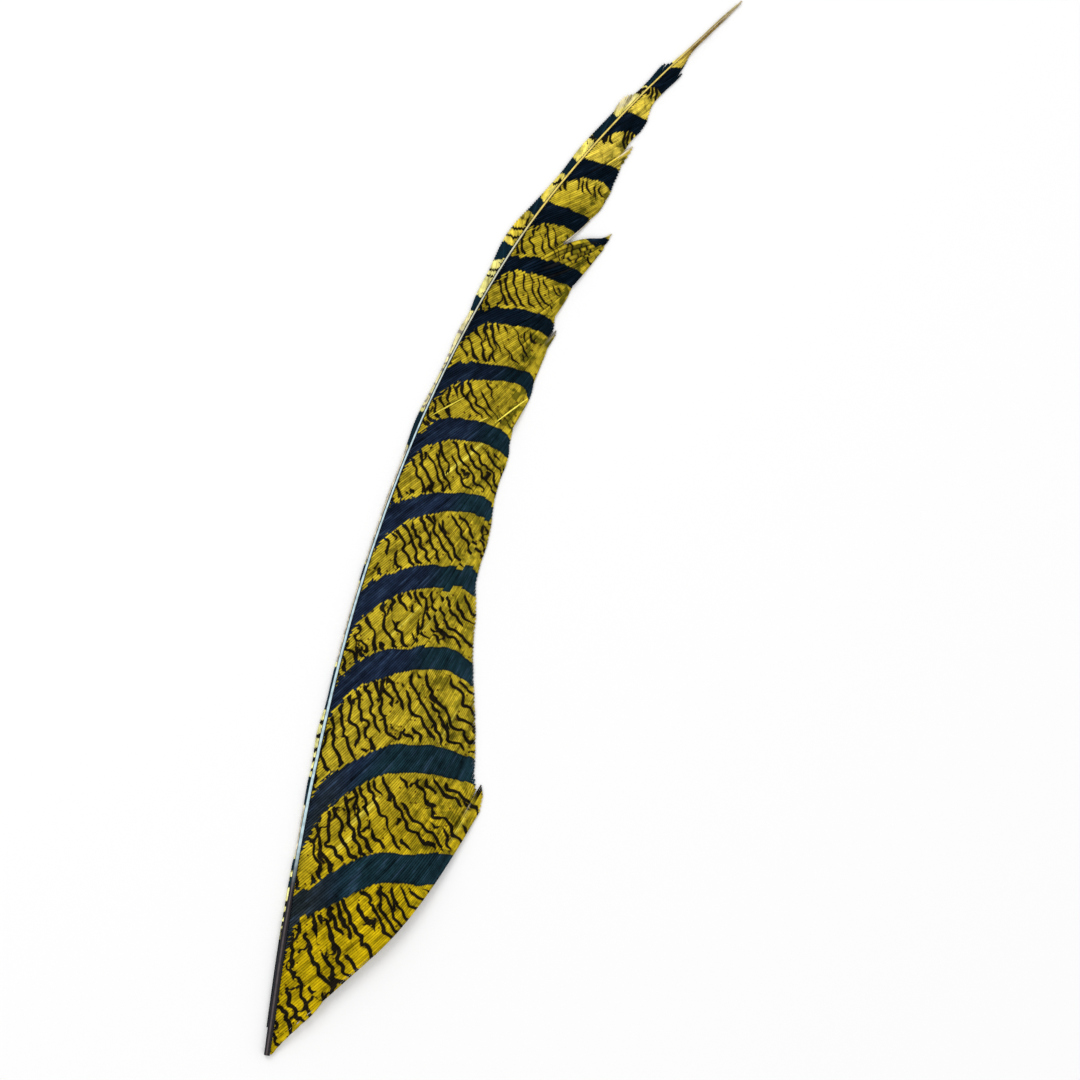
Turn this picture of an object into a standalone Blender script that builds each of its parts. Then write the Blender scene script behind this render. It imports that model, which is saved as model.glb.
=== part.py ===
"""A long pheasant tail feather that lies on its underside, as one solid of shaft and two vanes.

The feather is laid out on its own bowed shaft. "Along" is the distance up the shaft from the cut
quill end, and "out" is the distance square to the shaft, positive on the broad vane's side. Barbs
leave the shaft at a slant and sweep towards the tip; groups of them cling together as locks.
Driving sizes are in millimetres, and the mesh is made in metres.
"""
import math
import random
from collections import namedtuple

import bmesh
import bpy

MM = 0.001
PLAN_MIDDLE = (-4.75, 174.71)   # middle of the feather's box on the plan, which is set at the origin

# The shaft: its centre line in plan, as (up the straight line from end to end, bow to the right).
SHAFT_LINE = ((0.0, 0.0), (40.0, -11.2), (90.0, -23.4), (140.0, -32.4), (190.0, -36.4),
              (235.0, -34.9), (270.0, -29.4), (310.0, -17.1), (350.0, 0.0))
SHAFT_END = 359.4            # along the bow, where the whisker stops
# Along the shaft, its width and its height.
SHAFT_WIDTH = ((0.0, 1.8), (12.0, 2.0), (35.0, 2.1), (55.0, 1.55), (80.0, 1.3), (140.0, 1.1), (200.0, 1.0),
               (290.0, 0.75), (359.4, 0.35))
SHAFT_HEIGHT = ((0.0, 1.9), (30.0, 2.1), (80.0, 1.7), (140.0, 1.4), (220.0, 1.15), (300.0, 0.8),
                (359.4, 0.45))
SHOULDER_OUT = 0.55          # the crown's shoulders, over the half width
SHOULDER_UP = 0.92           # and over the shaft's height
KEEL_OUT = 0.60              # edges of the flat underside that the feather rests on, over the half width
VANE_SEAT = 0.66             # height at which the vanes leave the shaft, over the shaft's height

# The broad vane: (root along, barb tip along, barb tip out), then the barb's slant in degrees at both ends.
BROAD_TIPS = ((3.5, 85.5, 51.5), (13.5, 92.0, 49.6), (20.0, 99.0, 47.4), (35.0, 112.0, 44.6),
              (60.0, 136.0, 38.2), (70.0, 147.5, 36.0), (78.0, 156.0, 33.4), (85.0, 163.0, 32.6),
              (92.0, 170.0, 32.5), (99.0, 177.0, 31.5), (106.0, 183.0, 30.1), (115.0, 190.0, 29.2),
              (125.0, 198.0, 28.9), (134.0, 205.0, 27.1), (143.0, 212.0, 26.2), (152.0, 219.0, 27.1),
              (160.0, 225.0, 26.0), (172.0, 234.0, 25.1), (182.0, 241.5, 23.6), (189.0, 246.5, 22.0),
              (200.0, 253.0, 22.2), (212.0, 260.5, 21.5), (221.0, 266.0, 22.4), (229.0, 270.5, 22.7),
              (238.9, 275.8, 22.0), (245.5, 280.0, 15.6), (254.0, 284.0, 14.7), (262.0, 289.0, 13.9),
              (270.0, 295.0, 12.0), (280.0, 304.0, 9.3), (293.0, 313.5, 7.4), (300.0, 318.0, 5.2),
              (308.0, 324.0, 4.7), (318.0, 331.0, 4.7), (325.0, 337.5, 2.3), (335.0, 345.0, 1.3),
              (346.0, 352.0, 0.75), (357.0, 359.2, 0.42))
ROOT_SLANT = ((3.5, 41.5), (60.0, 39.0), (120.0, 34.0), (220.0, 30.0), (320.0, 24.0), (357.0, 14.0))
TIP_SLANT = ((3.5, 18.0), (60.0, 12.0), (120.0, 6.0), (220.0, 4.0), (260.0, 14.0), (357.0, 10.0))
HANDLE_PULL = 0.45           # length of a barb's curve handles, over the distance from root to tip
CAMBER = 0.037               # rise of the broad vane's middle, over the same distance
CAMBER_PEAK = 0.42           # place of the highest point along a barb, 0 root to 1 tip
VANE_THICKNESS = 0.5
SEAT_THICKNESS = 0.8         # most of the seat's height that the vane's thickness may take

# The narrow vane, folded steeply down beside the shaft: (tip along, how far it shows outside the axis).
NARROW_REACH = ((12.0, 1.05), (30.0, 1.15), (45.0, 1.45), (58.0, 1.4), (64.0, 0.95), (70.0, 0.95),
                (84.0, 1.35), (89.0, 1.1), (99.0, 1.75), (108.0, 1.0), (118.0, 1.0), (131.0, 0.6),
                (165.0, 0.6), (175.0, 0.9), (184.0, 0.6), (198.0, 1.5), (211.0, 0.85), (218.0, 0.8),
                (228.0, 1.5), (234.0, 1.2), (240.0, 2.0), (248.0, 2.4), (258.0, 3.7), (264.0, 3.6),
                (272.0, 2.5), (284.0, 1.7), (294.0, 2.25), (304.0, 2.0), (314.0, 2.3), (317.5, 1.15),
                (323.0, 1.1), (327.5, 1.65), (331.0, 0.5), (359.4, 0.3))
NARROW_START = 8.0
NARROW_RISE = 6.0            # from a narrow barb's root to its tip, along the shaft
NARROW_LEAST = 0.12          # least reach outside the shaft's side
NARROW_EDGE = 0.6            # height of the upper face at the narrow vane's edge
NARROW_FOLD = (0.8, 1.6)     # powers that carry a narrow barb out first and down later

# Locks. A landmark is a real parting of the broad vane: root along, and how many columns it opens.
VANE_START = 3.5
VANE_END = 357.0
LANDMARKS = ((13.5, 1), (182.0, 2), (245.5, 5), (280.0, 2), (318.0, 3))
LOCK_PITCH = 7.4
LOCK_JITTER = 1.1
LOCK_CUTS = (-1, 0, 1)       # cross-sections of a lock: its lower side, its middle and its upper side
LOCK_SEAM = 0.36             # width of the step between two locks, at the shaft
LOCK_STEP = 0.45             # height of that step, at its highest
LOCK_SCALLOP = 0.55          # how far a lock's two sides draw back from its middle, along the shaft
# How the locks beside a landmark spread: landmark, then for its lower and for its upper side the tip's move
# (along, out) and how far the barb bows towards the feather's tip on the way.
SPREADS = ((13.5, (1.9, 1.3, 0.0), (0.3, -1.2, 0.0)), (182.0, (1.6, 0.9, 0.0), (1.4, -1.4, 0.0)),
           (245.5, (-0.2, 6.8, 1.8), (-4.2, -0.7, 0.0)), (280.0, (1.3, 0.7, 0.0), (1.4, -1.5, 0.0)),
           (318.0, (0.8, 0.3, 0.0), (1.7, -1.8, 0.0)))
NO_SPREAD = (0.0, 0.0, 0.0)

# Shares of a broad barb's length where the mesh has its columns, closer together near the tip.
COLUMN_SHARES = (0.0, 0.13, 0.27, 0.42, 0.57, 0.71, 0.82, 0.91, 0.96, 0.982, 1.0)
LAST_COLUMN = len(COLUMN_SHARES) - 1
NARROW_COLUMNS = 2
CROWN_SPANS = 4              # faces across the shaft, above
KEEL_SPANS = 3               # and below
LINE_STEPS = 1200            # fineness of the shaft's arc length measure
SEED = 23

FEATHER_YELLOW = (0.52, 0.40, 0.03, 1.0)
FEATHER_ROUGHNESS = 0.55

# A lock of barbs, by its roots along the shaft, and the columns of the parting above it.
Lock = namedtuple("Lock", "low high opened")
# One cross-section: root along, side of its lock (-1 to 1), the tip's spread, and the open column beside it.
Station = namedtuple("Station", "root side spread open_from")


def clear_scene():
    """Remove every object that the file opened with."""
    for old in list(bpy.data.objects):
        bpy.data.objects.remove(old, do_unlink=True)


def read_curve(points, at, column=1):
    """Read a smooth curve through named points at one place."""
    last = len(points) - 1
    if at <= points[0][0]:
        return points[0][column]
    if at >= points[last][0]:
        return points[last][column]
    k = max(i for i in range(last) if points[i][0] <= at)
    x0, x1 = points[k][0], points[k + 1][0]
    y0, y1 = points[k][column], points[k + 1][column]
    before, after = points[max(k - 1, 0)], points[min(k + 2, last)]
    rise0 = (y1 - before[column]) / (x1 - before[0]) * (x1 - x0)
    rise1 = (after[column] - y0) / (after[0] - x0) * (x1 - x0)
    t = (at - x0) / (x1 - x0)
    return ((2 * t ** 3 - 3 * t ** 2 + 1) * y0 + (t ** 3 - 2 * t ** 2 + t) * rise0
            + (3 * t ** 2 - 2 * t ** 3) * y1 + (t ** 3 - t ** 2) * rise1)


def smooth_step(t):
    """Ease from 0 to 1 with level ends."""
    t = min(max(t, 0.0), 1.0)
    return t * t * (3.0 - 2.0 * t)


def measure_shaft():
    """Walk the bowed centre line: a list of (along, right, up) with even steps up the straight line."""
    length = SHAFT_LINE[-1][0]
    walked, line = 0.0, [(0.0, 0.0, 0.0)]
    for i in range(1, LINE_STEPS + 1):
        up = length * i / LINE_STEPS
        right = read_curve(SHAFT_LINE, up)
        walked += math.hypot(right - line[-1][1], up - line[-1][2])
        line.append((walked, right, up))
    return line


def place_on_plan(line, along, out):
    """Turn (along, out) into (right, up) on the plan."""
    low, high = 0, len(line) - 2
    while low < high:
        middle = (low + high + 1) // 2
        low, high = (middle, high) if line[middle][0] <= along else (low, middle - 1)
    first, second = line[low], line[low + 1]
    t = (along - first[0]) / (second[0] - first[0])
    step_right, step_up = second[1] - first[1], second[2] - first[2]
    size = math.hypot(step_right, step_up)
    right = first[1] + t * step_right + out * step_up / size
    up = first[2] + t * step_up - out * step_right / size
    return right, up


def vertex_place(line, point):
    """Turn an (along, out, height) point into metres."""
    right, up = place_on_plan(line, point[0], point[1])
    return (right - PLAN_MIDDLE[0]) * MM, (up - PLAN_MIDDLE[1]) * MM, point[2] * MM


def list_locks():
    """Share the broad vane between its landmarks into locks of about one pitch."""
    rng = random.Random(SEED)
    marks = ((VANE_START, 0),) + LANDMARKS + ((VANE_END, 0),)
    locks = []
    for (low, _), (high, opened) in zip(marks, marks[1:]):
        count = max(1, round((high - low) / LOCK_PITCH))
        cuts = [low + (high - low) * i / count for i in range(count + 1)]
        for i in range(1, count):
            cuts[i] += rng.uniform(-LOCK_JITTER, LOCK_JITTER)
        for i in range(count):
            locks.append(Lock(cuts[i], cuts[i + 1], opened if i == count - 1 else 0))
    return locks


def list_stations(locks):
    """Cut each lock at its two sides and its middle, between the shaft's two bare ends."""
    spread_below = {mark: low for mark, low, _ in SPREADS}
    spread_above = {mark: high for mark, _, high in SPREADS}
    first_open = {lock.high: LAST_COLUMN - lock.opened for lock in locks if lock.opened}
    stations = [Station(0.0, 0, NO_SPREAD, LAST_COLUMN)]
    for lock in locks:
        middle, half = (lock.low + lock.high) / 2, (lock.high - lock.low - LOCK_SEAM) / 2
        ends = zip(spread_below.get(lock.high, NO_SPREAD), spread_above.get(lock.low, NO_SPREAD))
        (along, along_low), (out, out_low), (bow, bow_low) = ends
        open_from = first_open.get(lock.high, first_open.get(lock.low, LAST_COLUMN))
        for side in LOCK_CUTS:
            up, down = (1 + side) / 2, (1 - side) / 2
            spread = (along * up + along_low * down - LOCK_SCALLOP * abs(side),
                      out * up + out_low * down, bow * up + bow_low * down)
            stations.append(Station(middle + side * half, side, spread, open_from))
    stations.append(Station(SHAFT_END, 0, NO_SPREAD, LAST_COLUMN))
    return stations


def broad_barb(station, share):
    """Place a point of the station's broad barb, 0 at its root to 1 at its tip, and give the barb's span."""
    root = station.root
    side = read_curve(SHAFT_WIDTH, root) / 2
    tip_along, tip_out = read_curve(BROAD_TIPS, root, 1), read_curve(BROAD_TIPS, root, 2)
    span = math.hypot(tip_along - root, tip_out - side)
    leave, arrive = math.radians(read_curve(ROOT_SLANT, root)), math.radians(read_curve(TIP_SLANT, root))
    pull = HANDLE_PULL * span
    handles = ((root, side), (root + pull * math.cos(leave), side + pull * math.sin(leave)),
               (tip_along - pull * math.cos(arrive), tip_out - pull * math.sin(arrive)), (tip_along, tip_out))
    weights = ((1 - share) ** 3, 3 * share * (1 - share) ** 2, 3 * share ** 2 * (1 - share), share ** 3)
    along = sum(w * h[0] for w, h in zip(weights, handles))
    out = sum(w * h[1] for w, h in zip(weights, handles))
    spread_from = COLUMN_SHARES[station.open_from - 1]
    moved = smooth_step((share - spread_from) / (1.0 - spread_from))
    move_along, move_out, bow = station.spread
    return along + move_along * moved + bow * math.sin(math.pi * moved), out + move_out * moved, span


def broad_height(station, span, share):
    """Height of the broad vane's upper face: arched from its seat on the shaft down to the floor."""
    seat = read_curve(SHAFT_HEIGHT, station.root) * VANE_SEAT
    skewed = share ** (math.log(0.5) / math.log(CAMBER_PEAK))
    arch = CAMBER * span * math.sin(math.pi * skewed)
    tilt = LOCK_STEP / 2 * station.side * math.sin(math.pi * share)
    return seat * (1 - share) + VANE_THICKNESS * share + arch + tilt


def narrow_point(root, share):
    """Place a point of a narrow barb, folded down from the shaft's side to just above the floor."""
    side = read_curve(SHAFT_WIDTH, root) / 2
    tip_along = min(root + NARROW_RISE, SHAFT_END)
    reach = max(read_curve(NARROW_REACH, tip_along), side + NARROW_LEAST)
    seat = read_curve(SHAFT_HEIGHT, root) * VANE_SEAT
    out = -side - (reach - side) * share ** NARROW_FOLD[0]
    height = seat + (NARROW_EDGE - seat) * share ** NARROW_FOLD[1]
    return root + (tip_along - root) * share, out, height


def station_rows(station):
    """One station's upper and lower points, from the narrow vane's edge across to the broad vane's."""
    root = station.root
    narrow = [narrow_point(root, j / NARROW_COLUMNS) for j in range(NARROW_COLUMNS, -1, -1)]
    broad = []
    for share in COLUMN_SHARES:
        along, out, span = broad_barb(station, share)
        broad.append((along, out, broad_height(station, span, share)))
    side, height = read_curve(SHAFT_WIDTH, root) / 2, read_curve(SHAFT_HEIGHT, root)
    shoulder, shoulder_up, keel = side * SHOULDER_OUT, height * SHOULDER_UP, side * KEEL_OUT
    crown = [(root, -shoulder, shoulder_up), (root, 0.0, height), (root, shoulder, shoulder_up)]
    thin = min(VANE_THICKNESS, height * VANE_SEAT * SEAT_THICKNESS)
    below_narrow = [(along, out, max(up - thin, 0.0)) for along, out, up in narrow]
    below_broad = [(along, out, max(up - thin, 0.0)) for along, out, up in broad]
    keel_points = [(root, -keel, 0.0), (root, keel, 0.0)]
    return narrow + crown + broad, below_narrow + keel_points + below_broad


def join_rows(mesh, rows, shaft_spans, narrow_row, gaps):
    """Join rows of vertices with quads, leaving out what has no vane.

    shaft_spans is the number of faces across the shaft, narrow_row the first row of the narrow vane,
    and gaps gives the first open broad column of each row with a parting above it. The broad vane
    starts at the second row, and both vanes stop a row before the shaft.
    """
    broad_from = NARROW_COLUMNS + shaft_spans
    for i in range(len(rows) - 1):
        for j in range(len(rows[i]) - 1):
            in_narrow, in_broad = j < NARROW_COLUMNS, j >= broad_from
            first_row = narrow_row if in_narrow else 1
            if (in_narrow or in_broad) and not first_row <= i < len(rows) - 2:
                continue
            if in_broad and j - broad_from >= gaps.get(i, LAST_COLUMN):
                continue
            mesh.faces.new((rows[i][j], rows[i][j + 1], rows[i + 1][j + 1], rows[i + 1][j]))


def pair_twins(twins, above, below):
    """Note which lower vertex lies under each vane vertex, so that edges can be walled."""
    for j in range(NARROW_COLUMNS + 1):
        twins[above[j]] = below[j]
    for j in range(1, len(COLUMN_SHARES) + 1):
        twins[above[-j]] = below[-j]


def close_edges(mesh, twins):
    """Wall up the open edges whose two ends have twins below."""
    for edge in [e for e in mesh.edges if e.is_boundary]:
        first, second = edge.verts
        if first in twins and second in twins:
            mesh.faces.new((first, second, twins[second], twins[first]))


def close_end(mesh, above, below):
    """Close the shaft's end with one face round its cross-section."""
    crown = above[NARROW_COLUMNS:NARROW_COLUMNS + CROWN_SPANS + 1]
    keel = below[NARROW_COLUMNS:NARROW_COLUMNS + KEEL_SPANS + 1]
    mesh.faces.new(crown + keel[::-1])


def build_feather():
    """Make the feather's closed mesh from its stations."""
    line = measure_shaft()
    locks = list_locks()
    stations = list_stations(locks)
    mesh = bmesh.new()
    upper, lower, twins = [], [], {}
    for station in stations:
        above, below = station_rows(station)
        upper.append([mesh.verts.new(vertex_place(line, point)) for point in above])
        lower.append([mesh.verts.new(vertex_place(line, point)) for point in below])
        pair_twins(twins, upper[-1], lower[-1])
    narrow_row = next(i for i, station in enumerate(stations) if station.root > NARROW_START)
    cuts = len(LOCK_CUTS)
    gaps = {cuts * (k + 1): LAST_COLUMN - lock.opened for k, lock in enumerate(locks) if lock.opened}
    join_rows(mesh, upper, CROWN_SPANS, narrow_row, gaps)
    join_rows(mesh, lower, KEEL_SPANS, narrow_row, gaps)
    close_edges(mesh, twins)
    close_end(mesh, upper[0], lower[0])
    close_end(mesh, upper[-1], lower[-1])
    return finish_mesh(mesh)


def finish_mesh(mesh):
    """Drop loose points, turn every face outwards and hand over the mesh."""
    loose = [v for v in mesh.verts if not v.link_faces]
    bmesh.ops.delete(mesh, geom=loose, context="VERTS")
    bmesh.ops.recalc_face_normals(mesh, faces=mesh.faces)
    data = bpy.data.meshes.new("feather")
    mesh.to_mesh(data)
    mesh.free()
    return data


def feather_material():
    """The plain golden yellow of the dyed feather."""
    material = bpy.data.materials.new("dyed_feather")
    material.use_nodes = True
    shader = material.node_tree.nodes["Principled BSDF"]
    shader.inputs["Base Color"].default_value = FEATHER_YELLOW
    shader.inputs["Roughness"].default_value = FEATHER_ROUGHNESS
    shader.inputs["Metallic"].default_value = 0.0
    return material


def main():
    """Build the feather."""
    clear_scene()
    data = build_feather()
    data.materials.append(feather_material())
    feather = bpy.data.objects.new("feather", data)
    bpy.context.scene.collection.objects.link(feather)


main()
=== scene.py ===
"""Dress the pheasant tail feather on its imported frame.

The feather is laid out on its own bowed shaft. "Along" is the distance up the shaft from the cut
quill end and "out" the distance square to it, positive on the broad vane's side, both in millimetres.
Every barb is a small rod swept along its own centre line, and carries what its colour needs: where it
is in the run of dark bars, which way it heads and how far out it has come.
"""
import logging
import math
import random
from dataclasses import dataclass, field
from enum import Enum
from typing import Any

import bpy
from mathutils import Matrix, Vector


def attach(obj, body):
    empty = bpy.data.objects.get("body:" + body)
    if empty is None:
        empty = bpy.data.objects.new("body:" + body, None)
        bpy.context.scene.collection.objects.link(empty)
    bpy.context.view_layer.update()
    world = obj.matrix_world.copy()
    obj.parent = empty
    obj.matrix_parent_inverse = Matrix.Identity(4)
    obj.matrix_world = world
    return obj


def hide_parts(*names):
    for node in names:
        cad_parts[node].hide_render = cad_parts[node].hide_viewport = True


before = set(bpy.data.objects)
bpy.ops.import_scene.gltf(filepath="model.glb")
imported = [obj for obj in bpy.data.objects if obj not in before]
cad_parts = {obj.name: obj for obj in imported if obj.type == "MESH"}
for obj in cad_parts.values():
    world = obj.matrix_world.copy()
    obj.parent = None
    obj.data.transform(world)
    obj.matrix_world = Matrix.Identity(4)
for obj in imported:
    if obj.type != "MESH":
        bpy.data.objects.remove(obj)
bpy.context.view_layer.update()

MM = 0.001
STEP = 0.25                     # over which growth is measured
PLAN_MIDDLE = (-4.75, 174.71)   # middle of the feather's box on the plan, set at the origin
PHOTO_SIDE = 1080               # pixels
QUILL_PIXEL = (267.0, 1055.0)   # where the cut quill end falls in the photograph
WHISKER_PIXEL = (743.0, 0.0)    # where the whisker's tip falls
SHAFT_CHORD = 350.0             # straight from one to the other

Pair = tuple[float, float]
Point = tuple[float, float, float]
Colour = tuple[float, float, float, float]
FACTS = ("phase", "gap", "thick", "count", "out")   # what is known of a place among the bars and lines
log = logging.getLogger("feather")


class VaneSide(Enum):
    """The two vanes, by the side of the shaft that they stand on."""

    BROAD = "broad_vane"
    NARROW = "narrow_vane"


def display_colour(red: float, green: float, blue: float) -> Colour:
    """Turn a colour as a screen shows it into a shader's linear one.

    Args:
        red: Red, 0 to 255.
        green: Green, 0 to 255.
        blue: Blue, 0 to 255.

    Returns:
        Linear red, green and blue with full alpha.
    """
    def linear(level: float) -> float:
        """Undo the screen's curve for one channel."""
        share = level / 255.0
        return share / 12.92 if share <= 0.04045 else ((share + 0.055) / 1.055) ** 2.4

    return linear(red), linear(green), linear(blue), 1.0


def ease(amount: float) -> float:
    """Ease from 0 to 1 with level ends."""
    amount = min(max(amount, 0.0), 1.0)
    return amount * amount * (3.0 - 2.0 * amount)


@dataclass(frozen=True)
class Graph:
    """A smooth curve through named points, in order of their first number."""

    points: tuple[tuple[float, ...], ...]

    def read(self, at: float, column: int = 1) -> float:
        """Read the curve at one place.

        Args:
            at: Where along the first column.
            column: Which column to read.

        Returns:
            The curve's value, held level past both ends.
        """
        points, last = self.points, len(self.points) - 1
        if at <= points[0][0]:
            return points[0][column]
        if at >= points[last][0]:
            return points[last][column]
        k = max(i for i in range(last) if points[i][0] <= at)
        x0, x1 = points[k][0], points[k + 1][0]
        y0, y1 = points[k][column], points[k + 1][column]
        before, after = points[max(k - 1, 0)], points[min(k + 2, last)]
        rise0 = (y1 - before[column]) / (x1 - before[0]) * (x1 - x0)
        rise1 = (after[column] - y0) / (after[0] - x0) * (x1 - x0)
        t = (at - x0) / (x1 - x0)
        return ((2 * t ** 3 - 3 * t ** 2 + 1) * y0 + (t ** 3 - 2 * t ** 2 + t) * rise0
                + (3 * t ** 2 - 2 * t ** 3) * y1 + (t ** 3 - t ** 2) * rise1)


@dataclass
class ShaftLine:
    """The bowed centre line of the shaft, and its width and height along the way."""

    bow: Graph = Graph(((0, 0), (40, -11.2), (90, -23.4), (140, -32.4), (190, -36.4), (235, -34.9),
                        (270, -29.4), (310, -17.1), (350, 0)))
    end: float = 359.4
    width: Graph = Graph(((0, 1.8), (12, 2.0), (35, 2.0), (55, 1.35), (80, 1.15), (140, 1.05), (200, 0.95),
                          (290, 0.75), (325, 0.62), (340, 0.5), (359.4, 0.35)))
    height: Graph = Graph(((0, 1.9), (30, 2.1), (80, 1.7), (140, 1.4), (220, 1.15), (300, 0.8),
                           (359.4, 0.45)))
    # How far the horn lies to the broad side.
    drift: Graph = Graph(((0, 0), (20, -0.1), (50, -0.22), (95, -0.12), (140, 0), (195, 0.1), (275, 0.3),
                          (322, 0.42), (340, 0.25), (350, 0.1), (359.4, 0)))
    seat: float = 0.66                  # height of the horn's widest level, as a share of it
    steps: int = 1200
    walked: list[Point] = field(default_factory=list)

    def __post_init__(self) -> None:
        """Walk the line once: (along, right, up) with even steps up the straight chord."""
        along, last = 0.0, (0.0, 0.0)
        self.walked = [(0.0, 0.0, 0.0)]
        for i in range(1, self.steps + 1):
            up = SHAFT_CHORD * i / self.steps
            here = (self.bow.read(up), up)
            along += math.dist(here, last)
            self.walked.append((along, *here))
            last = here

    def station(self, along: float) -> tuple[Vector, Vector]:
        """Find a place on the centre line.

        Args:
            along: Distance up the shaft.

        Returns:
            The place, (right, up) in millimetres, and the line's unit direction.
        """
        low, high = 0, len(self.walked) - 2
        while low < high:
            middle = (low + high + 1) // 2
            low, high = (middle, high) if self.walked[middle][0] <= along else (low, middle - 1)
        first, second = self.walked[low], self.walked[low + 1]
        t = (along - first[0]) / (second[0] - first[0])
        step = Vector((second[1] - first[1], second[2] - first[2]))
        return Vector(first[1:]) + t * step, step.normalized()

    def place(self, point: Point) -> Vector:
        """Turn a place on the feather into one in the part's frame.

        Args:
            point: Along, out and height.

        Returns:
            The place in millimetres.
        """
        along, out, height = point
        middle, step = self.station(along)
        return Vector((middle.x + out * step.y - PLAN_MIDDLE[0],
                       middle.y - out * step.x - PLAN_MIDDLE[1], height))

    def turned(self, along: float, ahead: float, aside: float) -> Vector:
        """Turn a vector given as (ahead up the shaft, aside from it) into the part's frame."""
        step = self.station(along)[1]
        return Vector((ahead * step.x + aside * step.y, ahead * step.y - aside * step.x, 0.0))

    def side(self, along: float, way: float = 1.0) -> float:
        """Where the horn's side is, out on the broad side, or on the narrow one where way is -1."""
        return self.drift.read(along) + way * self.width.read(along) / 2

    def vane_seat(self, along: float) -> float:
        """Height at which the vanes leave the shaft."""
        return self.height.read(along) * self.seat


class Wiring:
    """Adds and joins the nodes of one tree."""

    def __init__(self, tree: bpy.types.NodeTree) -> None:
        """Work on a tree."""
        self.tree = tree

    def set_input(self, socket: bpy.types.NodeSocket, value: Any) -> None:
        """Link a socket if the value is a socket, and else set it.

        Args:
            socket: An input.
            value: A number, colour, vector or socket.
        """
        if isinstance(value, bpy.types.NodeSocket):
            self.tree.links.new(value, socket)
        else:
            socket.default_value = value

    def add(self, kind: str, settings: dict[str, Any] | None = None, **inputs: Any) -> bpy.types.Node:
        """Add a node.

        Args:
            kind: The node's type name.
            settings: Its own properties.
            **inputs: Values or sockets by input name, with _ for a space, or inN for the Nth input.

        Returns:
            The node.
        """
        node = self.tree.nodes.new(kind)
        for name, value in (settings or {}).items():
            setattr(node, name, value)
        for name, value in inputs.items():
            key = int(name[2:]) if name[:2] == "in" and name[2:].isdigit() else name.replace("_", " ")
            self.set_input(node.inputs[key], value)
        return node

    def math(self, operation: str, *values: Any) -> bpy.types.NodeSocket:
        """Do sums with numbers or sockets.

        Args:
            operation: The sum, as the Math node names it.
            *values: One to three operands.

        Returns:
            The result's socket.
        """
        node = self.add("ShaderNodeMath", {"operation": operation})
        for socket, value in zip(node.inputs, values):
            self.set_input(socket, value)
        return node.outputs[0]

    def plus(self, first: Any, second: Any) -> bpy.types.NodeSocket:
        """Add two values."""
        return self.math("ADD", first, second)

    def minus(self, first: Any, second: Any) -> bpy.types.NodeSocket:
        """Take the second value from the first."""
        return self.math("SUBTRACT", first, second)

    def times(self, first: Any, second: Any) -> bpy.types.NodeSocket:
        """Multiply two values."""
        return self.math("MULTIPLY", first, second)

    def times_plus(self, first: Any, second: Any, third: Any) -> bpy.types.NodeSocket:
        """Multiply two values and add the third."""
        return self.math("MULTIPLY_ADD", first, second, third)

    def spot(self, right: Any, up: Any, height: Any = 0.0) -> bpy.types.NodeSocket:
        """Join three values into a vector."""
        return self.add("ShaderNodeCombineXYZ", in0=right, in1=up, in2=height).outputs[0]

    def vector(self, operation: str, first: Any, second: Any) -> bpy.types.NodeSocket:
        """Do sums with vectors.

        Args:
            operation: The sum, as the Vector Math node names it.
            first: A vector.
            second: Another one, or a number for SCALE.

        Returns:
            The result's socket.
        """
        key = "Scale" if operation == "SCALE" else "in1"
        node = self.add("ShaderNodeVectorMath", {"operation": operation}, in0=first, **{key: second})
        return node.outputs["Value" if operation in ("DOT_PRODUCT", "LENGTH") else "Vector"]

    def slope(self, value: Any, start: Any, stop: Any, low: Any = 0.0,
              high: Any = 1.0) -> bpy.types.NodeSocket:
        """Ease from low to high as a value goes from start to stop, which may be below start."""
        return self.add("ShaderNodeMapRange", {"interpolation_type": "SMOOTHSTEP"}, in0=value, in1=start,
                        in2=stop, in3=low, in4=high).outputs[0]

    def blend(self, factor: Any, first: Any, second: Any, way: str = "MIX") -> bpy.types.NodeSocket:
        """Blend two colours, by the share that the second has."""
        return self.add("ShaderNodeMix", {"data_type": "RGBA", "blend_type": way, "clamp_factor": True},
                        in0=factor, in6=first, in7=second).outputs[2]

    def fact(self, name: str, vector: bool = False) -> bpy.types.NodeSocket:
        """Read a fact that the barb carries."""
        node = self.add("ShaderNodeAttribute", {"attribute_name": name})
        return node.outputs["Vector" if vector else "Fac"]

    def grain(self, vector: Any, scale: float, detail: float = 2.0) -> bpy.types.NodeSocket:
        """Read flat noise from 0 to 1, with so many grains to a millimetre and so many octaves."""
        return self.add("ShaderNodeTexNoise", {"noise_dimensions": "2D"}, Vector=vector, Scale=scale,
                        Detail=detail).outputs[0]

    def swing(self, vector: Any, scale: float, detail: float = 2.0) -> bpy.types.NodeSocket:
        """Read the same noise from -0.5 to 0.5."""
        return self.minus(self.grain(vector, scale, detail), 0.5)

    def named(self, name: str, kind: str = "FLOAT") -> bpy.types.NodeSocket:
        """Read a named attribute of a geometry."""
        return self.add("GeometryNodeInputNamedAttribute", {"data_type": kind}, Name=name).outputs[0]


def put(name: str, data: Any) -> bpy.types.Object:
    """Make an object of some data and link it to the scene.

    Args:
        name: The object's name.
        data: Its mesh, light or camera.

    Returns:
        The object.
    """
    item = bpy.data.objects.new(name, data)
    bpy.context.scene.collection.objects.link(item)
    return item


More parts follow.
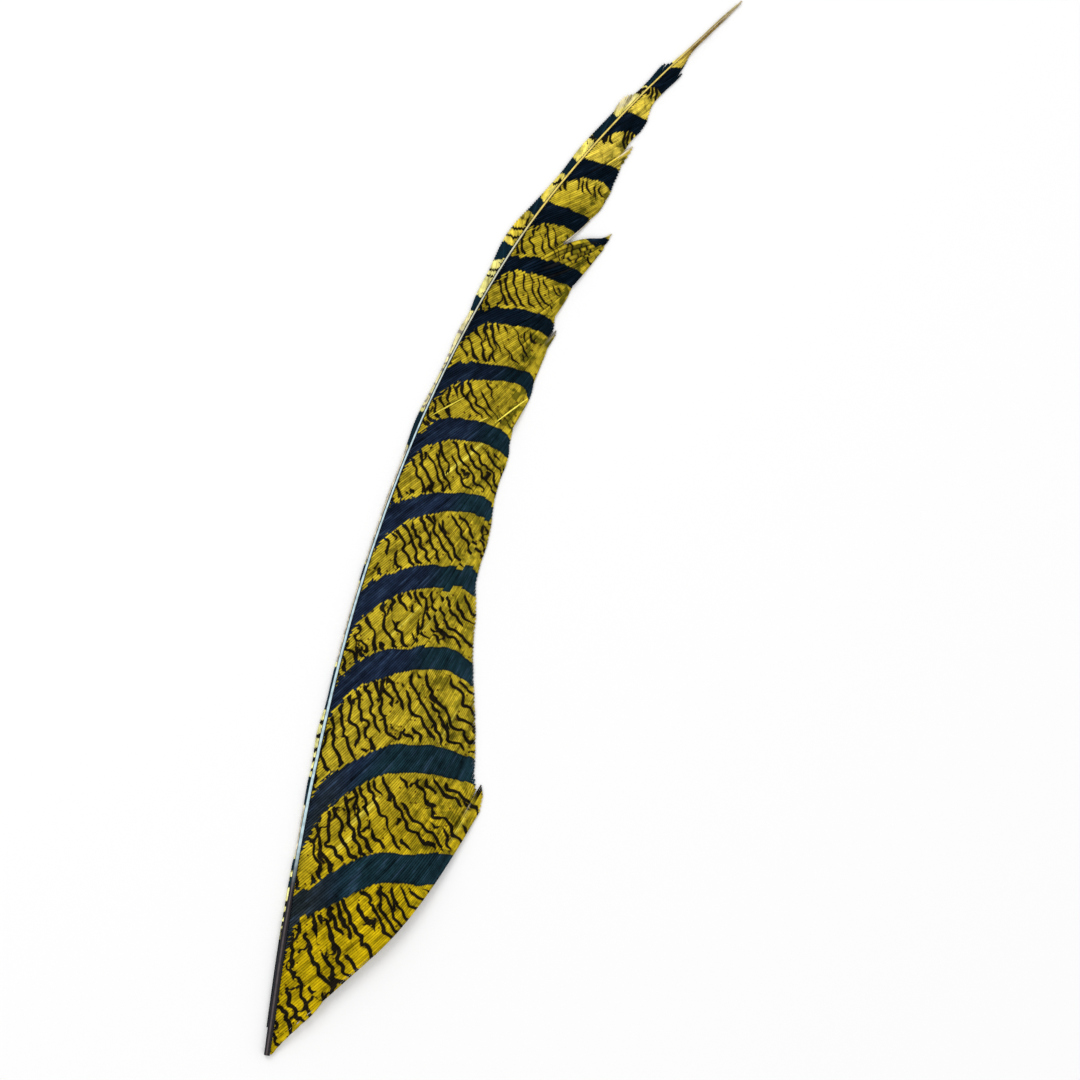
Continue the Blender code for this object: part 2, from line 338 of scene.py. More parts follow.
def new_finish(name: str, roughness: float, specular: float) -> tuple[bpy.types.Material, Wiring, Any]:
    """Start a material.

    Args:
        name: Its name.
        roughness: How matt it is.
        specular: How strongly it reflects.

    Returns:
        The material, its tree's wiring and its shader node.
    """
    material = bpy.data.materials.new(name)
    material.use_nodes = True
    shader = material.node_tree.nodes["Principled BSDF"]
    shader.inputs["Roughness"].default_value = roughness
    shader.inputs["Specular IOR Level"].default_value = specular
    return material, Wiring(material.node_tree), shader


@dataclass(frozen=True)
class Bar:
    """A dark cross bar: (out, where it starts along the shaft, where it stops)."""

    edges: tuple[Point, ...]

    def middle(self, out: float) -> float:
        """Where its middle crosses, some way out."""
        graph = Graph(self.edges)
        return (graph.read(out, 1) + graph.read(out, 2)) / 2

    def thick(self, out: float) -> float:
        """How thick it is there, along the shaft."""
        graph = Graph(self.edges)
        return graph.read(out, 2) - graph.read(out, 1)


@dataclass(frozen=True)
class BarRun:
    """The run of dark bars up one vane."""

    bars: tuple[Bar, ...]
    past_end: float = 18.0              # from the first or last bar to the middle of what lies beyond

    def read(self, along: float, out: float) -> tuple[float, float, float]:
        """Tell where a place is in the run.

        Args:
            along: Distance up the shaft.
            out: Distance square to it.

        Returns:
            Phase, a whole number at each bar's middle; the gap from middle to middle; and the
            thickness of the nearest bar.
        """
        middles = [bar.middle(out) for bar in self.bars]
        last = len(middles) - 1
        k = max([i for i in range(last) if middles[i] <= along], default=0)
        gap = middles[k + 1] - middles[k]
        phase = k + (along - middles[k]) / gap
        nearer = ease((phase - k - 0.3) / 0.4)
        thick = self.bars[k].thick(out) * (1 - nearer) + self.bars[k + 1].thick(out) * nearer
        return phase, gap, thick

    def between(self, zone: int, out: float) -> float:
        """Find the middle of a stretch between two bars.

        Args:
            zone: The number of the bar that it follows, or less than 0 before the first one.
            out: Distance square to the shaft.

        Returns:
            The middle's distance up the shaft.
        """
        last = len(self.bars) - 1
        low, high = self.bars[min(max(zone, 0), last)].middle(out), self.bars[min(zone + 1, last)].middle(out)
        return (low + high) / 2 + self.past_end * ((zone >= last) - (zone < 0))


BROAD_BARS = BarRun((
    Bar(((0.5, 22, 50), (1.5, 33, 51), (3, 40, 52), (5, 42, 53), (10, 46, 57.5), (20, 54, 65), (25, 57, 67),
         (35, 58.5, 68), (43, 60, 70))),
    Bar(((0.5, 60, 80), (3, 69, 86), (5, 74, 88), (10, 81, 92), (20, 90, 99.5), (30, 93, 102),
         (40, 94, 102.5), (50, 93, 100.5))),
    Bar(((0.5, 103, 115), (3, 107.5, 120), (5, 111.5, 123), (10, 116.5, 127), (20, 123, 130.5),
         (30, 126.3, 134), (35, 126, 133), (40, 124, 130.5))),
    Bar(((0.5, 127, 145), (3, 134, 148), (5, 137.5, 149.7), (10, 143.5, 153.5), (17, 149.2, 157),
         (25, 152, 159.5), (30, 153.3, 160.5), (33, 152.5, 159.5))),
    Bar(((0.5, 155, 171), (3, 160.5, 173.7), (5, 164, 175.5), (10, 170, 178.2), (18, 175, 181.5),
         (25, 177, 183.5), (30, 177.5, 182.5))),
    Bar(((0.5, 180, 194), (3, 187.5, 198.5), (5, 191, 201.5), (10, 195.5, 203.7), (20, 199, 205.5),
         (25, 199.2, 205.3), (28, 198, 203))),
    Bar(((0.5, 203, 216), (3, 209, 219.5), (5, 211.7, 221), (10, 216, 222.4), (18, 220, 225),
         (24, 220.7, 225.6), (27, 218.5, 223))),
    Bar(((0.5, 223, 236), (3, 229.7, 238.2), (5, 232.5, 240), (10, 235.7, 242), (20, 239, 244.5),
         (23, 239, 243.5))),
    Bar(((0.5, 243.5, 255.5), (3, 249, 256.7), (5, 251, 258), (10, 253.7, 260), (20, 257, 263))),
    Bar(((0.5, 263, 274.7), (3, 267, 276), (5, 269, 276.7), (10, 271.7, 278), (17, 273.5, 279),
         (20, 274.5, 279.2), (23, 276, 279.8))),
    Bar(((0.5, 282, 291.7), (3, 285, 293.3), (5, 287.3, 294.2), (10, 289.8, 296))),
    Bar(((0.5, 299, 311), (3, 304.5, 312.5), (6.5, 307.7, 313.3))),
    Bar(((0.5, 321.5, 330), (2, 322, 331.3), (4, 322.5, 333))),
))
NARROW_BARS = BarRun((
    Bar(((0.0, 6, 39), (4, 6, 39))),
    Bar(((0.0, 51, 54.5), (4, 51, 54.5))),
    Bar(((0.0, 56, 60), (4, 56, 60))),
    Bar(((0.0, 77, 85), (4, 77, 85))),
    Bar(((0.0, 106, 119), (4, 106, 119))),
    Bar(((0.0, 146, 151.5), (4, 146, 151.5))),
    Bar(((0.0, 189.5, 201), (4, 190, 201))),
    Bar(((0.0, 235, 239.5), (4, 233, 240))),
    Bar(((0.0, 253.5, 258), (4, 250, 257.5))),
    Bar(((0.0, 269, 274), (4, 268.5, 275.5))),
    Bar(((0.0, 284.5, 289.5), (4, 283.5, 290.5))),
    Bar(((0.0, 298.5, 308.3), (4, 298.5, 308.3))),
    Bar(((0.0, 321.5, 331.5), (4, 321, 331))),
))


@dataclass(frozen=True)
class LineRun:
    """The run of wavy lines over one vane, counted afresh between every two bars."""

    bars: BarRun
    spacing: Graph                      # from one line to the next, up the shaft
    near_turn: Graph                    # degrees, at the shaft, from its direction to the next line's
    far_turn: float                     # the same at the margin
    reach: Graph = Graph(((0, 34), (40, 40), (85, 51), (140, 38), (170, 32), (250, 22), (300, 14), (360, 12)))
    middles_out: float = 10.0           # how far out the middle of a stretch is read
    most_out: float = 1.2               # shares of the reach up to which the lines turn

    def count(self, along: float, out: float, zone: int) -> float:
        """Count the lines passed on the way to a place.

        Args:
            along: Distance up the shaft.
            out: Distance square to it.
            zone: The stretch between bars that the count starts in.

        Returns:
            The count, with a line's middle at every whole number and a half.
        """
        middle = self.bars.between(zone, self.middles_out)
        near_turn, reach = self.near_turn.read(middle), self.reach.read(middle)
        near, swing = math.radians(near_turn), math.radians(self.far_turn - near_turn)
        turn = near + swing * min(out / reach, self.most_out)
        passed_out = reach * (math.cos(near) - math.cos(turn)) / swing
        return (passed_out + (along - middle) * math.cos(turn)) / self.spacing.read(middle)

    def facts(self, along: float, out: float) -> tuple[dict[str, float], dict[str, Pair]]:
        """Tell where a place is among the bars and the lines.

        Args:
            along: Distance up the shaft.
            out: Distance square to it.

        Returns:
            The facts, and how fast each grows (up the shaft, away from it) in a millimetre.
        """
        zone = max(math.floor(self.bars.read(along, out)[0]), -1)
        spots = (along, out), (along + STEP, out), (along, out + STEP)
        here, ahead, aside = (dict(zip(FACTS, (*self.bars.read(*spot), self.count(*spot, zone), spot[1])))
                              for spot in spots)
        return here, {name: ((ahead[name] - here[name]) / STEP, (aside[name] - here[name]) / STEP)
                      for name in FACTS}


@dataclass(frozen=True)
class VaneFinish:
    """Dyed barbs: blue-black bars on golden yellow, with fine wavy black lines across the barbs."""

    name: str
    last_bar: int
    line_width: Pair = (1.02, 0.46)     # of a wavy line, low on the feather and high on it
    wobble: Pair = (1.8, 1.1)           # over how much a bar's edge strays, by the shaft and further out
    wobble_grain: float = 0.22          # grains of noise to a millimetre, here and below
    edge: Pair = (0.2, -0.2)            # distances over which a bar's edge fades in
    wiggle: Pair = (0.95, 1.8)          # how strongly the lines wave, in lines, below upper_from and above it
    wiggle_grain: float = 0.3
    bend: float = 1.2                   # the same for long waves
    bend_grain: float = 0.1
    tongue: float = 1.4                 # how far a bar near the shaft runs out along the lines
    link_share: float = 0.45            # a short link's width, as a share of a line's
    upper_from: float = 8.9             # bar above which the lines gather under each bar
    drawn: Pair = (0.31, 0.4)           # noise levels from which a line fades in and is whole
    links_drawn: Pair = (0.55, 0.62)    # the same for the short links
    number_step: float = 7.3            # how far apart the noise of two lines is read
    thinned: float = 0.15               # how much thinner a line is where it fades out
    width_swing: float = 1.3            # how unevenly wide the lines are
    gathered_gain: float = 0.5          # how much wider they are where they gather
    near_gain: float = 0.62             # the same beside a bar, near the shaft
    cleared: float = 0.6                # how much narrower they are along a bar's edge
    most_width: float = 0.66            # a line's greatest width, as a share of the spacing
    least_close: float = 0.08           # fewest lines to a millimetre
    speck_scale: float = 0.36           # cells to a millimetre that may hold a speck
    speck_level: float = 0.62           # random level above which a cell does
    speck_size: Pair = (0.15, 0.09)     # where it fades in and is whole, from its middle
    speck_strength: float = 0.8
    rim_width: float = 0.45             # of the brown beside a line, in millimetres
    rim_strength: float = 0.55
    mottled_from: Pair = (0.46, 0.62)   # noise levels from which the olive fades in and is whole
    mottle_grain: float = 0.33
    blackened: Pair = (3.5, 8.0)        # bars between which the navy turns black
    lit_from: Pair = (0.54, 0.72)       # noise levels from which a barb in a bar is lit
    lit_strength: Pair = (0.45, 0.12)   # below those bars and above them
    edge_black: float = 0.6             # how black a bar is at its edge
    # The barb-to-barb unevenness is partly a painted sheen along the barbs; the patches are uneven tone.
    shades: Point = (1.8, 0.9, 0.8)     # unevenness from barb to barb, of wide patches and of small ones
    roughness: Pair = (0.62, 0.5)       # of the yellow and of the bars
    specular: float = 0.03
    deep_gold: Colour = display_colour(184, 158, 8)
    bright_yellow: Colour = display_colour(185, 164, 39)
    pale_yellow: Colour = display_colour(226, 202, 74)
    rim_brown: Colour = display_colour(112, 92, 10)
    olive: Colour = display_colour(84, 82, 14)
    navy: Colour = display_colour(26, 38, 60)
    # The bars' outer colour: their own blue-green, partly a painted sheen where the vane's slope turns.
    teal: Colour = display_colour(22, 47, 56)
    near_black: Colour = display_colour(2, 14, 26)
    root_black: Colour = display_colour(36, 45, 50)
    lit_navy: Colour = display_colour(44, 60, 82)
    line_black: Colour = display_colour(27, 23, 15)
    speck_brown: Colour = display_colour(70, 32, 12)
    whisker_brown: Colour = display_colour(134, 106, 58)
    whisker_grey: Colour = display_colour(186, 174, 146)
    gleam: Colour = display_colour(250, 236, 92)
    undyed: Colour = display_colour(206, 196, 178)

    def bar_distance(self, wires: Wiring, place: Any) -> bpy.types.NodeSocket:
        """Find how far a place is outside the nearest bar, in millimetres, less than 0 within it.

        Args:
            wires: The material's tree.
            place: The place on the vane.

        Returns:
            The distance's socket.
        """
        phase = wires.fact("phase")
        nearest = wires.math("ROUND", phase)
        nearest = wires.math("MINIMUM", wires.math("MAXIMUM", nearest, 0.0), float(self.last_bar))
        off = wires.times(wires.math("ABSOLUTE", wires.minus(phase, nearest)), wires.fact("gap"))
        off = wires.minus(off, wires.times(wires.fact("thick"), 0.5))
        wobble = wires.swing(place, self.wobble_grain)
        return wires.times_plus(wobble, wires.slope(wires.fact("out"), 3.0, 12.0, *self.wobble), off)

    def family(self, wires: Wiring, count: Any, key: Any, width: Any, drawn: Pair) -> bpy.types.NodeSocket:
        """Draw one family of lines, each broken into stretches of its own.

        Args:
            wires: The material's tree.
            count: Lines counted up to the place, a line's middle at every whole number and a half.
            key: The place's distance along the lines.
            width: Share of the spacing that a line is wide.
            drawn: Noise levels from which a line fades in and is whole.

        Returns:
            A number above 0 within a line and below 0 beside it, in shares of the spacing.
        """
        number = wires.math("FLOOR", count)
        beside = wires.math("ABSOLUTE", wires.times_plus(wires.math("FRACT", count), 2.0, -1.0))
        spot = wires.spot(wires.times(number, self.number_step), key)
        shown = wires.slope(wires.grain(spot, 1.0, 0.0), *drawn)
        width = wires.minus(wires.times(width, shown), beside)
        return wires.times_plus(shown, self.thinned, wires.minus(width, self.thinned))

    def bent(self, wires: Wiring, place: Any) -> bpy.types.NodeSocket:
        """Find how far the count of lines is bent out of its even run.

        Args:
            wires: The material's tree.
            place: The place on the vane.

        Returns:
            The bend's socket, in lines.
        """
        wiggle = wires.slope(wires.fact("phase"), self.upper_from, self.upper_from + 0.2, *self.wiggle)
        long_waves = wires.times(wires.swing(place, self.bend_grain, 0.0), self.bend)
        return wires.times_plus(wires.swing(place, self.wiggle_grain, 0.5), wiggle, long_waves)

    def widest(self, wires: Wiring, place: Any, off: Any, close: Any) -> bpy.types.NodeSocket:
        """Find how wide a wavy line may be, less than 0 where none is drawn.

        Args:
            wires: The material's tree.
            place: The place on the vane.
            off: Distance outside the nearest bar.
            close: Lines to a millimetre.

        Returns:
            The width's socket, in shares of the spacing.
        """
        phase, share = wires.fact("phase"), wires.fact("share")
        past = wires.math("FRACT", phase)
        bare = wires.times(wires.slope(phase, self.upper_from, self.upper_from + 0.4),
                           wires.slope(past, 0.57, 0.47))
        bare = wires.math("MAXIMUM", bare, wires.slope(phase, self.last_bar + 0.1, self.last_bar + 0.3))
        gathered = wires.times(wires.slope(phase, self.upper_from + 1.0, self.upper_from + 1.4),
                               wires.slope(past, 0.5, 0.7))
        clean = wires.slope(share, 0.2, 0.6, 0.2, 2.4)
        margin = wires.slope(off, 0.0, clean, self.cleared, 0.0)
        margin = wires.times(margin, wires.minus(1.0, gathered))
        width = wires.slope(phase, 0.5, 8.5, *self.line_width)
        width = wires.times_plus(wires.swing(place, self.wiggle_grain, 1.0), self.width_swing, width)
        width = wires.times_plus(gathered, self.gathered_gain, width)
        width = wires.times_plus(wires.slope(phase, 0.7, 0.0), wires.slope(share, 0.5, 0.25, -0.1, 0.32),
                                 width)
        near_bar = wires.times(wires.slope(share, 0.4, 0.2), wires.slope(off, 5.0, 0.0))
        width = wires.times_plus(near_bar, self.near_gain, width)
        width = wires.times(width, wires.slope(close, 0.08, 0.24, 0.3, 1.0))
        width = wires.math("MINIMUM", wires.times(width, close), self.most_width)
        width = wires.minus(width, wires.plus(margin, bare))
        return wires.minus(width, wires.fact("plain"))

    def line_depth(self, wires: Wiring, place: Any, off: Any) -> bpy.types.NodeSocket:
        """Draw the wavy lines between the bars, and the short links that fork them.

        Args:
            wires: The material's tree.
            place: The place on the vane.
            off: Distance outside the nearest bar.

        Returns:
            Millimetres to the nearest line's edge, above 0 within a line.
        """
        up = wires.add("ShaderNodeSeparateXYZ", in0=place).outputs[1]
        bend = self.bent(wires, place)
        grown = []
        for aside in ((STEP, 0.0, 0.0), (0.0, STEP, 0.0)):
            ahead = self.bent(wires, wires.vector("ADD", place, aside))
            grown.append(wires.math("DIVIDE", wires.minus(ahead, bend), STEP))
        grown = wires.vector("ADD", wires.fact("count_lean", True), wires.spot(*grown))
        close = wires.math("MAXIMUM", wires.vector("LENGTH", grown, (0.0, 0.0, 0.0)), self.least_close)
        count = wires.plus(wires.fact("count"), bend)
        width = self.widest(wires, place, off, close)
        lines = self.family(wires, count, wires.times(up, 0.1), width, self.drawn)
        across = wires.times_plus(count, 0.75, wires.times(up, -0.2))
        width = wires.times(width, self.link_share)
        links = self.family(wires, across, wires.times(up, 0.2), width, self.links_drawn)
        return wires.math("DIVIDE", wires.math("MAXIMUM", lines, links), wires.times(close, 2.0))

    def specks(self, wires: Wiring, place: Any) -> bpy.types.NodeSocket:
        """Scatter small dark specks.

        Args:
            wires: The material's tree.
            place: The place on the vane.

        Returns:
            The specks' strength, 0 to 1.
        """
        cells = wires.add("ShaderNodeTexVoronoi", {"voronoi_dimensions": "2D"}, Vector=place,
                          Scale=self.speck_scale)
        chosen = wires.math("GREATER_THAN", cells.outputs["Color"], self.speck_level)
        chosen = wires.times(chosen, wires.slope(wires.fact("phase"), 8.5, 8.0))
        return wires.times(wires.slope(cells.outputs["Distance"], *self.speck_size), chosen)

    def yellow(self, wires: Wiring, place: Any, depth: Any) -> bpy.types.NodeSocket:
        """Mix the yellow ground with its mottling and specks.

        Args:
            wires: The material's tree.
            place: The place on the vane.
            depth: The wavy lines' depth there.

        Returns:
            The colour's socket.
        """
        phase, share = wires.fact("phase"), wires.fact("share")
        colour = wires.blend(wires.slope(phase, -0.5, 1.5), self.deep_gold, self.bright_yellow)
        colour = wires.blend(wires.slope(phase, 9.2, 10.6), colour, self.pale_yellow)
        rim = wires.times(wires.slope(depth, -self.rim_width, 0.0), self.rim_strength)
        colour = wires.blend(rim, colour, self.rim_brown)
        mottled = wires.slope(wires.grain(place, self.mottle_grain, 3.0), *self.mottled_from)
        mottled = wires.times(mottled, wires.slope(share, 0.45, 0.7))
        mottled = wires.times(mottled, wires.slope(phase, 4.0, 6.0, 0.6, 0.85))
        colour = wires.blend(mottled, colour, self.olive)
        brown = wires.slope(phase, self.last_bar + 0.1, self.last_bar + 0.7, 0.0, 0.9)
        colour = wires.blend(brown, colour, self.whisker_brown)
        grey = wires.slope(phase, self.last_bar + 1.0, self.last_bar + 1.6)
        colour = wires.blend(grey, colour, self.whisker_grey)
        specks = wires.times(self.specks(wires, place), self.speck_strength)
        return wires.blend(specks, colour, self.speck_brown)

    def dark(self, wires: Wiring, off: Any) -> bpy.types.NodeSocket:
        """Mix the bars' navy, teal and black, the teal and the lighter navy in part a painted sheen.

        Args:
            wires: The material's tree.
            off: Distance outside the nearest bar.

        Returns:
            The colour's socket.
        """
        phase, share = wires.fact("phase"), wires.fact("share")
        low = wires.slope(phase, 1.6, 0.6)
        # Painted sheen in part: navy turns teal out along the barb, where the vane's slope turns to the
        # light.
        teal_from = wires.times_plus(low, -0.35, 0.35)
        teal = wires.slope(share, teal_from, wires.plus(teal_from, 0.3))
        colour = wires.blend(teal, self.navy, self.teal)
        colour = wires.blend(wires.times(low, wires.slope(share, 0.22, 0.06)), colour, self.root_black)
        colour = wires.blend(wires.slope(phase, *self.blackened, 0.0, 0.95), colour, self.near_black)
        # Painted sheen: lighter navy streaks on some barbs within the bars.
        lit = wires.times(wires.slope(self.strand(wires), *self.lit_from),
                          wires.slope(phase, *self.blackened, *self.lit_strength))
        colour = wires.blend(lit, colour, self.lit_navy)
        return wires.blend(wires.slope(off, -1.0, 0.0, 0.0, self.edge_black), colour, self.near_black)

    def strand(self, wires: Wiring) -> bpy.types.NodeSocket:
        """Read noise drawn out along the barbs."""
        spot = wires.spot(wires.fact("root"), wires.fact("gone"))
        return wires.grain(wires.vector("MULTIPLY", spot, (0.45, 0.13, 1.0)), 1.0, 3.0)

    def shade(self, wires: Wiring, place: Any) -> bpy.types.NodeSocket:
        """Make the brightness that varies from barb to barb, from lock to lock and over the vane, partly a
        painted sheen.

        Args:
            wires: The material's tree.
            place: The place on the vane.

        Returns:
            The brightness as a colour's socket.
        """
        tone = wires.times_plus(wires.fact("tone"), 0.5, 0.75)
        swings = (wires.minus(self.strand(wires), 0.5), wires.swing(place, 0.13),
                  wires.swing(place, 0.6, 3.0))
        for swing, strength in zip(swings, self.shades):
            tone = wires.times_plus(swing, strength, tone)
        return wires.spot(tone, tone, tone)

    def make(self) -> bpy.types.Material:
        """Build the material.

        Returns:
            The material.
        """
        material, wires, shader = new_finish(self.name, self.roughness[1], self.specular)
        place, mark = wires.fact("place", True), wires.fact("mark")
        off = self.bar_distance(wires, place)
        depth = self.line_depth(wires, place, off)
        tongues = wires.times(wires.slope(wires.fact("out"), 3.5, 14.0, -self.tongue, 0.0),
                              wires.slope(wires.fact("phase"), 10.0, 8.0))
        pushed = wires.math("MINIMUM", wires.math("MAXIMUM", depth, -1.0), 1.0)
        off = wires.times_plus(pushed, tongues, off)
        bar = wires.slope(off, *self.edge)
        colour = wires.blend(wires.fact("glint"), self.yellow(wires, place, depth), self.gleam)
        colour = wires.blend(wires.slope(depth, -0.1, 0.08), colour, self.line_black)
        colour = wires.blend(bar, colour, self.dark(wires, off))
        colour = wires.blend(wires.math("MAXIMUM", mark, 0.0), colour, self.undyed)
        # Below 0: darkened tips and thin dark lines, and the shaft's painted shade at each broad barb's root.
        colour = wires.blend(wires.math("MAXIMUM", wires.times(mark, -1.0), 0.0), colour, self.line_black)
        colour = wires.blend(1.0, colour, self.shade(wires, place), "MULTIPLY")
        wires.set_input(shader.inputs["Base Color"], colour)
        wires.set_input(shader.inputs["Roughness"], wires.slope(off, *self.edge, *self.roughness))
        return material


@dataclass(frozen=True)
class ShaftFinish:
    """The horn of the shaft: dark at the quill, a pale strip between dark sides, golden at the whisker."""

    name: str = "horn"
    quill: Colour = display_colour(34, 28, 30)
    streak: Colour = display_colour(104, 96, 98)
    # Pale horn with a painted bluish reflection of the sky.
    strip: Colour = display_colour(196, 222, 230)
    upper_strip: Colour = display_colour(206, 208, 186)
    golden: Colour = display_colour(236, 210, 104)
    whisker: Colour = display_colour(196, 178, 136)
    side: Colour = display_colour(20, 26, 38)
    strip_from: Pair = (50.0, 68.0)     # where each colour fades in, along the shaft
    upper_from: Pair = (190.0, 232.0)
    golden_from: Pair = (252.0, 275.0)
    whisker_from: Pair = (330.0, 345.0)
    sides_until: Pair = (338.0, 328.0)
    roughness: float = 0.4
    specular: float = 0.15

    def make(self) -> bpy.types.Material:
        """Build the material.

        Returns:
            The material.
        """
        material, wires, shader = new_finish(self.name, self.roughness, self.specular)
        along, across = wires.fact("along"), wires.fact("across")
        streaks = wires.grain(wires.spot(along, across), 0.5, 3.0)
        beside = wires.math("ABSOLUTE", wires.plus(across, 0.12))
        colour = wires.blend(wires.slope(beside, 0.4, 0.12, 0.0, 0.6), self.quill, self.streak)
        # The pale strip, partly a painted reflection of the sky.
        pale = wires.blend(wires.slope(along, *self.upper_from), self.strip, self.upper_strip)
        pale = wires.blend(wires.slope(along, *self.golden_from), pale, self.golden)
        colour = wires.blend(wires.slope(along, *self.strip_from), colour, pale)
        colour = wires.blend(wires.slope(along, *self.whisker_from), colour, self.whisker)
        half = wires.slope(along, 60.0, 215.0, 0.72, 0.44)
        half = wires.plus(half, wires.slope(along, 232.0, 285.0, 0.0, 0.2))
        sides = wires.slope(wires.minus(wires.math("ABSOLUTE", across), half), -0.06, 0.08)
        sides = wires.times(sides, wires.slope(along, *self.sides_until))
        colour = wires.blend(sides, colour, self.side)
        colour = wires.blend(wires.slope(streaks, 0.4, 0.7, 0.0, 0.3), colour, self.side)
        wires.set_input(shader.inputs["Base Color"], colour)
        return material


class SweptRods:
    """A Geometry Nodes tree that sweeps a small diamond section along every guide line."""

    def __init__(self, name: str) -> None:
        """Build the tree with its named inputs.

        Args:
            name: The tree's name.
        """
        self.tree = bpy.data.node_groups.new(name, "GeometryNodeTree")
        self.sockets = {}
        self.add_input("Guides", "NodeSocketGeometry")
        for label, kind in (("Ridge", "Float"), ("Section Corners", "Int"), ("Roll Spread", "Float"),
                            ("Tone Spread", "Float"), ("Smoothness", "Float"), ("Seed", "Int"),
                            ("Finish", "Material")):
            self.add_input(label, "NodeSocket" + kind)
        self.tree.interface.new_socket("Rods", in_out="OUTPUT", socket_type="NodeSocketGeometry")
        self.wire()

    def add_input(self, label: str, kind: str) -> None:
        """Add a named input and keep its identifier."""
        socket = self.tree.interface.new_socket(label, in_out="INPUT", socket_type=kind)
        self.sockets[label] = socket.identifier

    def random_offset(self, wires: Wiring, spread: Any, seed: Any, turn: float) -> bpy.types.NodeSocket:
        """Give each barb a number between minus and plus the spread, another one for each turn."""
        return wires.add("FunctionNodeRandomValue", {"data_type": "FLOAT"}, in2=wires.times(spread, -1.0),
                         in3=spread, ID=wires.named("barb", "INT"), Seed=wires.plus(seed, turn)).outputs[1]

    def store(self, wires: Wiring, rods: Any, name: str, kind: str, value: Any) -> bpy.types.NodeSocket:
        """Store a value of some kind on the rods' points, under a name."""
        return wires.add("GeometryNodeStoreNamedAttribute", {"data_type": kind, "domain": "POINT"},
                         Geometry=rods, Name=name, Value=value).outputs[0]

    def spread_facts(self, wires: Wiring, rods: Any, smoothness: Any) -> bpy.types.NodeSocket:
        """Let the facts vary across each rod, so that colours run smoothly from barb to barb.

        Args:
            wires: The tree.
            rods: The geometry's socket.
            smoothness: Share of the true variation, 0 for one value across a rod.

        Returns:
            The geometry's socket.
        """
        kind = "FLOAT_VECTOR"
        where = wires.add("GeometryNodeInputPosition").outputs[0]
        aside = wires.vector("SUBTRACT", wires.vector("SCALE", where, 1.0 / MM), wires.named("centre", kind))
        aside = wires.vector("SCALE", aside, smoothness)
        for name in FACTS:
            grown = wires.vector("DOT_PRODUCT", aside, wires.named(name + "_lean", kind))
            rods = self.store(wires, rods, name, "FLOAT", wires.plus(wires.named(name), grown))
        return self.store(wires, rods, "place", kind, wires.vector("ADD", wires.named("place", kind), aside))

    def wire(self) -> None:
        """Join the nodes: guides to curves, roll, section, sweep, tone, facts, material."""
        wires = Wiring(self.tree)
        given = wires.add("NodeGroupInput").outputs
        lines = wires.add("GeometryNodeMeshToCurve", Mesh=given["Guides"]).outputs[0]
        lines = wires.add("GeometryNodeSetCurveNormal", {"mode": "Z_UP"}, Curve=lines).outputs[0]
        roll = self.random_offset(wires, given["Roll Spread"], given["Seed"], 1.0)
        lines = wires.add("GeometryNodeSetCurveTilt", Curve=lines, Tilt=roll).outputs[0]
        section = wires.add("GeometryNodeCurvePrimitiveCircle", Resolution=given["Section Corners"],
                            Radius=1.0).outputs[0]
        flat = wires.spot(1.0, given["Ridge"], 1.0)
        section = wires.add("GeometryNodeTransform", in0=section, Scale=flat).outputs[0]
        rods = wires.add("GeometryNodeCurveToMesh", Curve=lines, Profile_Curve=section,
                         Scale=wires.named("half_width"), Fill_Caps=True).outputs[0]
        uneven = self.random_offset(wires, given["Tone Spread"], given["Seed"], 2.0)
        rods = self.store(wires, rods, "tone", "FLOAT", wires.plus(wires.named("tone"), uneven))
        rods = self.spread_facts(wires, rods, given["Smoothness"])
        rods = wires.add("GeometryNodeSetShadeSmooth", in0=rods).outputs[0]
        rods = wires.add("GeometryNodeRealizeInstances", Geometry=rods).outputs[0]
        rods = wires.add("GeometryNodeSetMaterial", Geometry=rods, Material=given["Finish"]).outputs[0]
        wires.add("NodeGroupOutput", in0=rods)

    def sweep(self, name: str, guides: bpy.types.Mesh, values: dict[str, Any]) -> bpy.types.Object:
        """Sweep guide lines into a plain mesh.

        Args:
            name: The finished piece's name.
            guides: Polylines with their facts.
            values: The tree's inputs by label.

        Returns:
            The finished object, linked to the scene.
        """
        holder = put(name + "_guides", guides)
        modifier = holder.modifiers.new("rods", "NODES")
        modifier.node_group = self.tree
        for label, value in values.items():
            modifier[self.sockets[label]] = value
        graph = bpy.context.evaluated_depsgraph_get()
        mesh = bpy.data.meshes.new_from_object(holder.evaluated_get(graph), depsgraph=graph)
        bpy.data.objects.remove(holder)
        mesh.name = name
        return put(name, mesh)


@dataclass
class Guide:
    """One barb's centre line, with what is known at each of its points."""

    points: list[Vector] = field(default_factory=list)
    facts: dict[str, list[float]] = field(default_factory=dict)
    vectors: dict[str, list[Vector]] = field(default_factory=dict)

    def add(self, point: Vector, facts: dict[str, float], vectors: dict[str, Vector]) -> None:
        """Add a point with what is known there.

        Args:
            point: The point, in millimetres.
            facts: Numbers by name.
            vectors: Vectors by name.
        """
        self.points.append(point)
        for name, value in facts.items():
            self.facts.setdefault(name, []).append(value)
        for name, vector in vectors.items():
            self.vectors.setdefault(name, []).append(vector)


